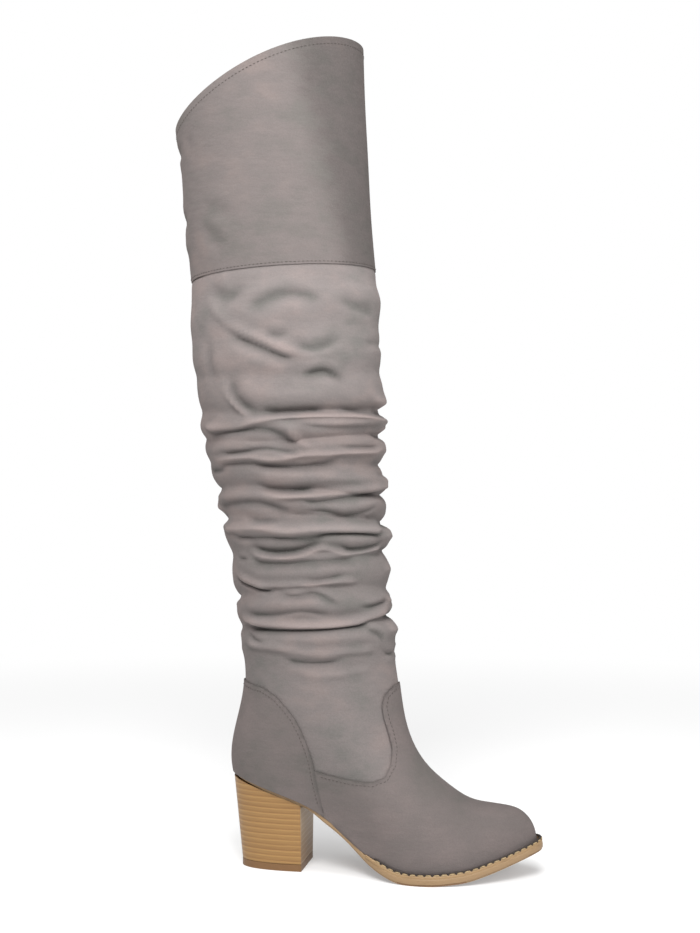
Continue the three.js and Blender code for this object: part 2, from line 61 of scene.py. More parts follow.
def srgb(red: int, green: int, blue: int) -> tuple[float, float, float, float]:
    """Turns a colour as read on a screen into the shader's linear colour.

    Args:
        red: Red from 0 to 255.
        green: Green from 0 to 255.
        blue: Blue from 0 to 255.

    Returns:
        The linear colour with full alpha.
    """
    linear = [(c / 255 / 12.92) if c <= 10 else ((c / 255 + 0.055) / 1.055) ** 2.4 for c in (red, green, blue)]
    return (*linear, 1.0)


def dimmed(colour: tuple, share: float) -> tuple[float, float, float, float]:
    """The same linear colour at a share of its brightness."""
    return (*(share * part for part in colour[:3]), 1.0)


# Shader graphs


class Value:
    """One output of a shader graph. Sums on it add Math nodes to the graph."""

    def __init__(self, graph: "Graph", socket: bpy.types.NodeSocket) -> None:
        """Wraps a socket.

        Args:
            graph: The graph that the socket belongs to.
            socket: The output socket.
        """
        self.graph = graph
        self.socket = socket

    def _math(self, operation: str, *values: "Value | float") -> "Value":
        """Adds one Math node.

        Args:
            operation: The Math node's operation.
            *values: Its inputs in order.

        Returns:
            The node's result.
        """
        return self.graph.node("ShaderNodeMath", {"operation": operation}, dict(enumerate(values)))

    def __add__(self, other: "Value | float") -> "Value":
        """Sum."""
        return self._math("ADD", self, other)

    def __radd__(self, other: float) -> "Value":
        """Sum with a number in front."""
        return self._math("ADD", other, self)

    def __sub__(self, other: "Value | float") -> "Value":
        """Difference."""
        return self._math("SUBTRACT", self, other)

    def __rsub__(self, other: float) -> "Value":
        """Difference from a number."""
        return self._math("SUBTRACT", other, self)

    def __mul__(self, other: "Value | float") -> "Value":
        """Product."""
        return self._math("MULTIPLY", self, other)

    def __rmul__(self, other: float) -> "Value":
        """Product with a number in front."""
        return self._math("MULTIPLY", other, self)

    def __truediv__(self, other: "Value | float") -> "Value":
        """Quotient."""
        return self._math("DIVIDE", self, other)

    def fraction(self) -> "Value":
        """The part after the decimal point."""
        return self._math("FRACT", self)

    def floor(self) -> "Value":
        """The whole number below."""
        return self._math("FLOOR", self)

    def step(self, low: float, high: float) -> "Value":
        """A smooth rise from 0 at low to 1 at high.

        Args:
            low: Where the rise starts.
            high: Where it ends. Lower than low turns the rise round.

        Returns:
            The mask.
        """
        turned = low > high
        limits = {1: min(low, high), 2: max(low, high), 3: float(turned), 4: float(not turned)}
        return self.graph.node("ShaderNodeMapRange", {"interpolation_type": "SMOOTHSTEP"}, {0: self, **limits})


class Graph:
    """The node tree of one material that every piece in that finish shares."""

    def __init__(self, name: str) -> None:
        """Starts an empty material.

        Args:
            name: The finish's name.
        """
        self.material = bpy.data.materials.new(name)
        self.material.use_nodes = True
        self.tree = self.material.node_tree
        self.tree.nodes.clear()

    def node(self, kind: str, settings: dict | None = None, sockets: dict | None = None, out: int | str = 0) -> Value:
        """Adds any node.

        Args:
            kind: The node's type.
            settings: Its settings, set before its sockets.
            sockets: Values or links of its inputs, by name or number.
            out: The output that is wanted.

        Returns:
            That output.
        """
        made = self.tree.nodes.new(kind)
        for key, value in (settings or {}).items():
            setattr(made, key, value)
        for key, value in (sockets or {}).items():
            if isinstance(value, Value):
                self.tree.links.new(value.socket, made.inputs[key])
            else:
                made.inputs[key].default_value = value
        return Value(self, made.outputs[out])

    def place(self) -> Value:
        """The point on the object in millimetres."""
        metres = self.node("ShaderNodeTexCoord", out="Object")
        return self.scaled(metres, (1000.0, 1000.0, 1000.0))

    def scaled(self, vector: Value, by: tuple[float, float, float]) -> Value:
        """Stretches a vector along the three axes.

        Args:
            vector: The vector.
            by: The factors.

        Returns:
            The stretched vector.
        """
        return self.node("ShaderNodeVectorMath", {"operation": "MULTIPLY"}, {0: vector, 1: by})

    def axis(self, vector: Value, name: str) -> Value:
        """One number of a vector.

        Args:
            vector: The vector.
            name: "X", "Y" or "Z".

        Returns:
            That number.
        """
        return self.node("ShaderNodeSeparateXYZ", None, {0: vector}, out=name)

    def noise(self, place: Value, size: float, detail: float = 2.0, roughness: float = 0.5) -> Value:
        """Soft cloudy noise about 0.5.

        Args:
            place: The point in millimetres.
            size: The size of a cloud in millimetres.
            detail: How many finer layers it has.
            roughness: How strong the finer layers are.

        Returns:
            The noise.
        """
        sockets = {"Vector": place, "Scale": 1 / size, "Detail": detail, "Roughness": roughness}
        return self.node("ShaderNodeTexNoise", None, sockets)

    def mixed(self, factor: Value | float, first: "Value | tuple", second: "Value | tuple") -> Value:
        """Mixes two colours.

        Args:
            factor: 0 for the first, 1 for the second.
            first: One colour.
            second: The other colour.

        Returns:
            The mixed colour.
        """
        return self.node("ShaderNodeMix", {"data_type": "RGBA"}, {0: factor, 6: first, 7: second}, out=2)

    def bump(self, height: Value, depth: float, strength: float = 1.0, under: Value | None = None) -> Value:
        """A bump from a height between 0 and 1.

        Args:
            height: The height.
            depth: What a height of 1 stands for, in millimetres.
            strength: How much of it shows.
            under: The normal of a coarser bump that this one lies on.

        Returns:
            The bent normal.
        """
        sockets: dict = {"Strength": strength, "Distance": depth * MM, "Height": height}
        if under is not None:
            sockets["Normal"] = under
        return self.node("ShaderNodeBump", None, sockets)

    def finish(self, sockets: dict) -> bpy.types.Material:
        """Ends the graph in one shader.

        Args:
            sockets: The shader's values and links.

        Returns:
            The material.
        """
        shader = self.node("ShaderNodeBsdfPrincipled", None, sockets)
        output = self.tree.nodes.new("ShaderNodeOutputMaterial")
        self.tree.links.new(shader.socket, output.inputs["Surface"])
        return self.material


# Finishes


@dataclass(frozen=True)
class Suede:
    """Brushed faux suede, whose short nap lies this way and that.

    Attributes:
        name: The finish's name.
        mid: The colour of most of it.
        warm_tone_and_ridge_highlight: The colour of the raised nap, which also serves as a painted highlight on the
            fold ridges.
        cool_tone_and_trough_shade: The colour of the flatter nap, which also serves as painted shade in the fold
            troughs.
        tone_and_painted_light: How far the fold attribute pushes the colour towards the painted highlight on ridges
            and the painted shade in troughs, from 0 to 1.
        painted_shade_below: How much painted shade darkens it towards the ankle, where less light falls, from 0 to 1.
        flat_front: How much darker it lies towards the front, from 0 to 1.
        front: Where along X that starts and where it is full, in millimetres.
        slant: How much sooner it starts for each millimetre that it lies over 500.
    """

    name: str
    mid: tuple
    warm_tone_and_ridge_highlight: tuple
    cool_tone_and_trough_shade: tuple
    tone_and_painted_light: float = 0.6
    painted_shade_below: float = 0.0
    flat_front: float = 0.0
    front: tuple[float, float] = (50, 76)
    slant: float = 0.0

    def material(self) -> bpy.types.Material:
        """Builds the material.

        Returns:
            The material.
        """
        graph = Graph(self.name)
        place = graph.place()
        fold = graph.node("ShaderNodeAttribute", {"attribute_name": "fold"}, out="Fac")
        clouds = graph.noise(place, 55, 2, 0.5)
        patches = graph.noise(graph.scaled(place, (1, 1, 1.6)), 18, 2, 0.5)
        strokes = graph.noise(graph.scaled(place, (1, 1, 1.8)), 5, 3, 0.6)
        nap = graph.noise(place, 1.1, 3, 0.7)
        # Random mottling of the nap, then painted light from the fold attribute: a painted highlight on the ridges and
        # painted shade in the troughs.
        mottle_and_fold_light = clouds.step(0.32, 0.68) * 0.5 + patches.step(0.3, 0.7) * 0.28 + strokes * 0.12
        mottle_and_fold_light = mottle_and_fold_light + fold * self.tone_and_painted_light - self.tone_and_painted_light * 0.5 + 0.05
        body = graph.mixed(mottle_and_fold_light.step(0.05, 0.5), self.cool_tone_and_trough_shade, self.mid)
        body = graph.mixed(mottle_and_fold_light.step(0.45, 0.95), body, self.warm_tone_and_ridge_highlight)
        # Fine nap grain and strokes, plus painted shade that darkens the fold troughs through the fold attribute.
        grain = nap.step(0.25, 0.75) * 0.1 + strokes * 0.06 + fold * 0.36 + 0.70
        if self.painted_shade_below:
            # Painted shade: the suede darkens towards the ankle, where less light falls.
            low = (graph.axis(place, "Z") + patches * 60).step(480, 320)
            grain = grain - low * self.painted_shade_below
        if self.flat_front:
            slid = graph.axis(place, "X") + (graph.axis(place, "Z") - 500) * self.slant
            ahead = (slid + patches * 26).step(*self.front)
            grain = grain - ahead * self.flat_front
        shade = graph.node("ShaderNodeCombineXYZ", None, {0: grain, 1: grain, 2: grain})
        tint = {"data_type": "RGBA", "blend_type": "MULTIPLY"}
        colour = graph.node("ShaderNodeMix", tint, {0: 1.0, 6: body, 7: shade}, out=2)
        rumple = graph.noise(graph.scaled(place, (1, 1, 2.4)), 11, 2, 0.5)
        soft = graph.bump(rumple, 1.0, 0.45)
        hairs = graph.bump(nap, 0.16, 0.8, soft)
        return graph.finish(
            {
                "Base Color": colour,
                "Roughness": 0.95,
                "Specular IOR Level": 0.12,
                "Sheen Weight": 0.2,
                "Sheen Roughness": 0.5,
                "Sheen Tint": self.warm_tone_and_ridge_highlight,
                "Normal": hairs,
            }
        )


@dataclass(frozen=True)
class Lining:
    """Smooth knitted lining glued to the suede's back.

    Attributes:
        name: The finish's name.
        colour: Its colour.
        rib: The distance from one rib of the knit to the next, in millimetres.
    """

    name: str = "lining"
    colour: tuple = srgb(176, 162, 146)
    rib: float = 1.1

    def material(self) -> bpy.types.Material:
        """Builds the material.

        Returns:
            The material.
        """
        graph = Graph(self.name)
        place = graph.place()
        phase = graph.axis(place, "Z") * (2 * math.pi / self.rib)
        ribs = graph.node("ShaderNodeMath", {"operation": "SINE"}, {0: phase})
        lit = graph.noise(place, 12, 2).step(0.3, 0.7) * 0.3 + ribs * 0.1 + 0.5
        colour = graph.mixed(lit, dimmed(self.colour, 0.8), self.colour)
        normal = graph.bump(ribs * 0.5 + 0.5, 0.15, 0.6)
        return graph.finish({"Base Color": colour, "Roughness": 0.85, "Specular IOR Level": 0.2, "Normal": normal})


@dataclass(frozen=True)
class StackedWood:
    """Heel made to look like thin layers of stacked leather.

    Attributes:
        name: The finish's name.
        light: The colour in the middle of a layer.
        dark: The colour of the lines between layers.
        plain: The colour of the flat front, which shows no layers.
        layer: The height of a layer in millimetres.
    """

    name: str
    light: tuple
    dark: tuple
    plain: tuple
    layer: float = 3.9

    def material(self) -> bpy.types.Material:
        """Builds the material.

        Returns:
            The material.
        """
        graph = Graph(self.name)
        place = graph.place()
        height = graph.axis(place, "Z")
        wander = graph.noise(graph.scaled(place, (0.6, 0.6, 1)), 14, 2)
        rows = (height + wander * 0.9) / self.layer
        within = rows.fraction()
        number = rows.floor()
        tone = graph.node("ShaderNodeTexWhiteNoise", {"noise_dimensions": "1D"}, {"W": number})
        # Each layer runs from a dark line up to its own lighter tone; the band near its top, which is also bumped into
        # a ridge, is lightened further as a painted highlight.
        edge = within.step(0.55, 0.72) * within.step(1.0, 0.84)
        band = within.step(0.0, 0.5)
        grain = graph.noise(graph.scaled(place, (0.12, 0.12, 2.6)), 1.5, 4, 0.65)
        fibre = graph.noise(graph.scaled(place, (0.4, 0.4, 5)), 1.2, 2, 0.6)
        mix = band * 0.34 + edge * 0.3 + tone * 0.18 + grain.step(0.3, 0.7) * 0.2
        layers = graph.mixed(mix, self.dark, self.light)
        front = graph.axis(graph.node("ShaderNodeNewGeometry", out="Normal"), "X").step(0.75, 0.95)
        browned = graph.mixed(height.step(45, 8) * 0.7 + fibre * 0.3, self.plain, self.dark)
        colour = graph.mixed(front * 0.85, layers, browned)
        ridge = graph.bump(edge, 0.2, 0.6)
        fine = graph.bump(grain, 0.06, 0.5, ridge)
        rough = 0.5 - edge * 0.1 + grain * 0.12
        return graph.finish(
            {"Base Color": colour, "Roughness": rough, "Coat Weight": 0.2, "Coat Roughness": 0.28, "Normal": fine}
        )


@dataclass(frozen=True)
class Rubber:
    """Moulded sole rubber, faintly speckled and scuffed.

    Attributes:
        name: The finish's name.
        colour: Its colour.
        deep: The colour of its tread and its scuffs, and of the painted shade on its upward faces.
        rough: Its roughness.
        painted_shade_on_top: How far painted shade darkens its upward faces, for pieces whose tops lie in shadow under
            the upper, from 0 to 1.
    """

    name: str
    colour: tuple
    deep: tuple
    rough: float = 0.5
    painted_shade_on_top: float = 0.0

    def material(self) -> bpy.types.Material:
        """Builds the material.

        Returns:
            The material.
        """
        graph = Graph(self.name)
        place = graph.place()
        speckle = graph.noise(place, 0.7, 3, 0.7)
        scuff = graph.noise(graph.scaled(place, (0.5, 0.5, 2.5)), 5, 3, 0.65)
        facing = graph.axis(graph.node("ShaderNodeNewGeometry", out="Normal"), "Z")
        tone_and_painted_light = scuff.step(0.5, 0.75) * 0.22 + speckle.step(0.35, 0.75) * 0.14
        # Scuffs, speckles and the darker underside are the rubber's own; the darkening of upward faces is painted
        # shade.
        tone_and_painted_light = tone_and_painted_light + facing.step(-0.4, -0.8) * 0.55 + facing.step(0.75, 0.92) * self.painted_shade_on_top
        colour = graph.mixed(tone_and_painted_light, self.colour, self.deep)
        normal = graph.bump(speckle, 0.1, 0.5, graph.bump(scuff, 0.25, 0.35))
        return graph.finish({"Base Color": colour, "Roughness": scuff * 0.2 + self.rough - 0.1, "Normal": normal})


@dataclass(frozen=True)
class Thread:
    """Twisted sewing thread.

    Attributes:
        name: The finish's name.
        colour: Its colour.
    """

    name: str
    colour: tuple

    def material(self) -> bpy.types.Material:
        """Builds the material.

        Returns:
            The material.
        """
        graph = Graph(self.name)
        twist = graph.noise(graph.place(), 0.5, 2)
        colour = graph.mixed(twist.step(0.3, 0.7), dimmed(self.colour, 0.55), self.colour)
        return graph.finish({"Base Color": colour, "Roughness": 0.7, "Normal": graph.bump(twist, 0.12, 0.6)})


# Shapes


def merged_copy(node: str, paired: float = 40.0) -> bmesh.types.BMesh:
    """Copies a CAD node's mesh, merges its loose triangles and pairs them into quads.

    Args:
        node: The CAD node.
        paired: The largest angle in degrees between two triangles that become one face.

    Returns:
        The copy, in the row frame.
    """
    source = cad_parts[node]
    form = bmesh.new()
    form.from_mesh(source.data)
    form.transform(source.matrix_world)
    bmesh.ops.remove_doubles(form, verts=form.verts, dist=0.002 * MM)
    bmesh.ops.join_triangles(
        form,
        faces=form.faces,
        angle_face_threshold=math.radians(paired),
        angle_shape_threshold=math.radians(70),
    )
    return form


def to_mesh(form: bmesh.types.BMesh, name: str) -> bpy.types.Mesh:
    """Turns a bmesh into a mesh and frees it.

    Args:
        form: The bmesh.
        name: The mesh's name.

    Returns:
        The mesh.
    """
    mesh = bpy.data.meshes.new(name)
    form.to_mesh(mesh)
    form.free()
    return mesh


def applied(mesh: bpy.types.Mesh, *modifiers: tuple[str, dict]) -> bpy.types.Mesh:
    """Runs modifiers over a mesh and keeps the result.

    Args:
        mesh: The mesh, which is used up.
        *modifiers: Pairs of a modifier's type and its settings.

    Returns:
        The resulting mesh.
    """
    holder = bpy.data.objects.new("workpiece", mesh)
    bpy.context.collection.objects.link(holder)
    for kind, settings in modifiers:
        modifier = holder.modifiers.new(kind, kind)
        for key, value in settings.items():
            setattr(modifier, key, value)
    graph = bpy.context.evaluated_depsgraph_get()
    result = bpy.data.meshes.new_from_object(holder.evaluated_get(graph))
    bpy.data.objects.remove(holder)
    bpy.data.meshes.remove(mesh)
    return result


def refined(form: bmesh.types.BMesh, levels: int, corner: float) -> bpy.types.Mesh:
    """Rounds a form by subdivision, keeping its corners crisp.

    Args:
        form: The form, which is used up.
        levels: How many times it is divided.
        corner: The angle in degrees past which an edge is a corner.

    Returns:
        The finer mesh.
    """
    crisp = form.edges.layers.float.get("crease_edge") or form.edges.layers.float.new("crease_edge")
    for edge in form.edges:
        if len(edge.link_faces) == 2 and edge.calc_face_angle() > math.radians(corner):
            edge[crisp] = 1.0
    settings = {"levels": levels, "render_levels": levels, "use_limit_surface": False}
    return applied(to_mesh(form, "refined"), ("SUBSURF", settings))


def with_more_rows(mesh: bpy.types.Mesh, low: float, high: float) -> bpy.types.Mesh:
    """Cuts the upright outer faces of a shaft across, so that it holds narrow folds.

    Args:
        mesh: The mesh, which is used up. Its lining faces are numbered 1.
        low: Where the cuts start, in millimetres.
        high: Where they end, in millimetres.

    Returns:
        The finer mesh.
    """
    form = bmesh.new()
    form.from_mesh(mesh)
    bpy.data.meshes.remove(mesh)
    upright = []
    for edge in form.edges:
        rise_of_edge = edge.verts[1].co - edge.verts[0].co
        inside = low * MM < min(vert.co.z for vert in edge.verts) and max(vert.co.z for vert in edge.verts) < high * MM
        outer = all(face.material_index == 0 for face in edge.link_faces)
        if inside and outer and abs(rise_of_edge.z) > 0.8 * rise_of_edge.length:
            upright.append(edge)
    bmesh.ops.subdivide_edges(form, edges=upright, cuts=1, use_grid_fill=True)
    return to_mesh(form, "rows")


def dressed(
    name: str,
    mesh: bpy.types.Mesh,
    finishes: tuple[bpy.types.Material, ...],
    nodes: tuple[str, ...] = (),
    sharp: float = 45.0,
) -> bpy.types.Object:
    """Makes a mesh a piece of the boot.

    Args:
        name: The piece's name.
        mesh: Its mesh, in the row frame.
        finishes: Its materials in the order of its faces' numbers.
        nodes: The CAD nodes that it stands for.
        sharp: The angle in degrees past which shading breaks.

    Returns:
        The piece.
    """
    mesh.name = name
    numbers = [min(face.material_index, len(finishes) - 1) for face in mesh.polygons]
    mesh.materials.clear()
    for finish in finishes:
        mesh.materials.append(finish)
    mesh.polygons.foreach_set("material_index", numbers)
    mesh.shade_smooth()
    mesh.set_sharp_from_angle(angle=math.radians(sharp))
    piece = bpy.data.objects.new(name, mesh)
    bpy.context.collection.objects.link(piece)
    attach(piece, "root")
    if nodes:
        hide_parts(*nodes)
    mesh.calc_loop_triangles()
    log.info("%s: %d triangles", name, len(mesh.loop_triangles))
    return piece


def mesh_points(mesh: bpy.types.Mesh) -> np.ndarray:
    """Reads a mesh's points.

    Args:
        mesh: The mesh.

    Returns:
        Rows of X, Y, Z in metres.
    """
    points = np.empty(len(mesh.vertices) * 3)
    mesh.vertices.foreach_get("co", points)
    return points.reshape(-1, 3)


def set_points(mesh: bpy.types.Mesh, points: np.ndarray) -> None:
    """Moves the mesh's points.

    Args:
        mesh: The mesh.
        points: Rows of X, Y, Z in metres.
    """
    mesh.vertices.foreach_set("co", points.ravel())
    mesh.update()


def rise(value: np.ndarray, low: float, high: float) -> np.ndarray:
    """A smooth rise from 0 at low to 1 at high.

    Args:
        value: The values.
        low: Where the rise starts.
        high: Where it ends.

    Returns:
        The rise for each value.
    """
    share = np.clip((value - low) / (high - low), 0.0, 1.0)
    return share * share * (3 - 2 * share)


# The shaft's own sizes

# A crease's section, as shares of its walls: how far off it is felt, where its lip swells and how wide, and where the
# suede hangs over it and how wide. Then the share of its length that each end may take to run out.
FELT, SWELL_AT, SWELL_WIDE, HANG_AT, HANG_WIDE = 4, 2.1, 1.1, 0.9, 0.5
END_SHARE = 0.4


@dataclass(frozen=True)
class ShaftForm:
    """The tube that the leg stands in, as its ellipse at rising heights.

    Attributes:
        rows: Height, centre along X, half its depth and half its width, in millimetres.
        boot_height: The height of the collar's front.
        collar_drop: How much lower the collar's back is.
        collar_sweep: How late the drop comes, going back.
        seam_height: The height of the cuff's seam at the sides.
        seam_tilt: How much higher the seam is at the front, and lower at the back.
    """

    rows: tuple[tuple[float, float, float, float], ...] = (
        (140, 38.0, 57.5, 39.5),
        (190, 32.6, 55.9, 41.4),
        (252, 25.5, 58.7, 44.3),
        (280, 22.0, 60.9, 46.2),
        (301, 17.7, 64.3, 48.3),
        (345, 13.9, 68.0, 50.4),
        (392, 10.2, 70.8, 52.1),
        (436, 9.0, 70.1, 53.3),
        (490, 3.6, 70.8, 54.2),
        (548, -1.0, 72.2, 55.0),
        (606, -3.5, 73.0, 55.5),
    )
    boot_height: float = 606
    collar_drop: float = 60
    collar_sweep: float = 1.5
    seam_height: float = 436.7
    seam_tilt: float = 3.5

    def ellipse(self, height: np.ndarray) -> tuple[np.ndarray, np.ndarray, np.ndarray]:
        """The centre, half depth and half width at heights in millimetres."""
        table = np.array(self.rows)
        return tuple(np.interp(height, table[:, 0], table[:, column]) for column in (1, 2, 3))

    def turns(self, points: np.ndarray) -> tuple[np.ndarray, np.ndarray]:
        """The turn of points about the shaft, and the way out from it.

        Args:
            points: Rows of X, Y, Z in metres.

        Returns:
            The turns in degrees, 0 at the front and growing to 180 at the back over the outer side, below 0 on
            the inner side, and the level unit vectors that point out.
        """
        centre, depth, width = self.ellipse(points[:, 2] / MM)
        along = (points[:, 0] / MM - centre) / depth
        across = points[:, 1] / MM / width
        out = np.stack([along / depth, across / width, np.zeros(len(points))], axis=1)
        out /= np.maximum(np.linalg.norm(out, axis=1, keepdims=True), 1e-9)
        return np.degrees(np.arctan2(-across, along)), out

    def point(self, turn: float, height: float, out: float = 0.0) -> Vector:
        """A point of the tube.

        Args:
            turn: The turn in degrees.
            height: The height in millimetres.
            out: How far outside the tube it lies, in millimetres.

        Returns:
            The point in metres.
        """
        centre, depth, width = (float(size) for size in self.ellipse(np.array(height)))
        angle = math.radians(turn)
        x = centre + (depth + out) * math.cos(angle)
        return Vector((x, -(width + out) * math.sin(angle), height)) * MM

    def seam(self, turn: float) -> float:
        """The height of the cuff's seam in millimetres at a turn in degrees."""
        return self.seam_height + self.seam_tilt * math.cos(math.radians(turn))

    def collar(self, turn: float) -> float:
        """The collar's height in millimetres at a turn in degrees."""
        share = (1 - math.cos(math.radians(turn))) / 2
        return self.boot_height - self.collar_drop * share**self.collar_sweep


@dataclass(frozen=True)
class Crease:
    """A soft trough where the slouched suede folds, or a ridge where its depth is below 0.

    Attributes:
        line: Its points as turns in degrees and heights in millimetres, going forward.
        depth: How deep it is pressed in, in millimetres.
        above: How far its upper wall reaches, in millimetres.
        below: How far its lower wall reaches, in millimetres.
        lip: The share of its depth that swells past its walls.
        droop: The share of its depth by which the suede hangs down over it.
        taper: The length over which its ends run out, in millimetres.
    """

    line: tuple[tuple[float, float], ...]
    depth: float
    above: float
    below: float
    lip: float = 0.3
    droop: float = 0.6
    taper: float = 14.0

    def _path(self) -> np.ndarray:
        """Draws the smooth curve through its points.

        Returns:
            Rows of millimetres round the shaft and of height.
        """
        points = np.array([(turn * DEGREE / MM, height) for turn, height in self.line])
        ends = np.vstack([2 * points[0] - points[1], points, 2 * points[-1] - points[-2]])
        share = np.linspace(0, 1, 6)[:-1, None]
        rows = []
        for before, here, there, after in zip(ends, ends[1:], ends[2:], ends[3:]):
            slope, sweep = (there - before) / 2, (after - here) / 2
            cubic = 2 * (here - there) + slope + sweep
            square = 3 * (there - here) - 2 * slope - sweep
            rows.append(((cubic * share + square) * share + slope) * share + here)
        return np.vstack([*rows, points[-1:]])

    def press(self, turns: np.ndarray, heights: np.ndarray) -> tuple[np.ndarray, np.ndarray]:
        """How the crease moves the suede.

        Args:
            turns: Turns of the points in degrees.
            heights: Their heights in millimetres.

        Returns:
            How far each point moves out, and how far it moves up, in millimetres.
        """
        across = turns * DEGREE / MM
        path = self._path()
        reach = FELT * max(self.above, self.below)
        (left, low), (right, high) = path.min(axis=0) - reach, path.max(axis=0) + reach
        near = (heights > low) & (heights < high) & (across > left) & (across < right)
        out, up = np.zeros(len(turns)), np.zeros(len(turns))
        if not near.any():
            return out, up
        spots = np.stack([across[near], heights[near]], axis=1)
        best = np.full(len(spots), np.inf)
        signed, passed = np.zeros(len(spots)), np.zeros(len(spots))
        length = 0.0
        for here, there in zip(path, path[1:]):
            along = there - here
            stride = max(float(np.hypot(*along)), 1e-9)
            run = np.clip((spots - here) @ along / stride**2, 0, 1)
            gap = spots - here - run[:, None] * along
            distance = np.hypot(gap[:, 0], gap[:, 1])
            normal = np.array((-along[1], along[0])) * (1 if along[0] >= 0 else -1)
            closer = distance < best
            best = np.where(closer, distance, best)
            signed = np.where(closer, np.where(gap @ normal >= 0, distance, -distance), signed)
            passed = np.where(closer, length + run * stride, passed)
            length += stride
        run_out = min(self.taper, END_SHARE * length)
        fade = rise(passed, 0, run_out) * rise(length - passed, 0, run_out)
        wall = np.where(signed > 0, self.above, self.below)
        trough = -np.exp(-((signed / wall) ** 2))
        swell = np.exp(-(((np.abs(signed) - SWELL_AT * wall) / (SWELL_WIDE * wall)) ** 2))
        hangs = 0.0 if self.depth < 0 else HANG_AT * self.above
        hang = np.exp(-(((signed - hangs) / (HANG_WIDE * (self.above + self.below))) ** 2))
        out[near] = self.depth * fade * (trough + self.lip * swell)
        up[near] = -abs(self.depth) * self.droop * fade * hang
        return out, up


# Soft pieces


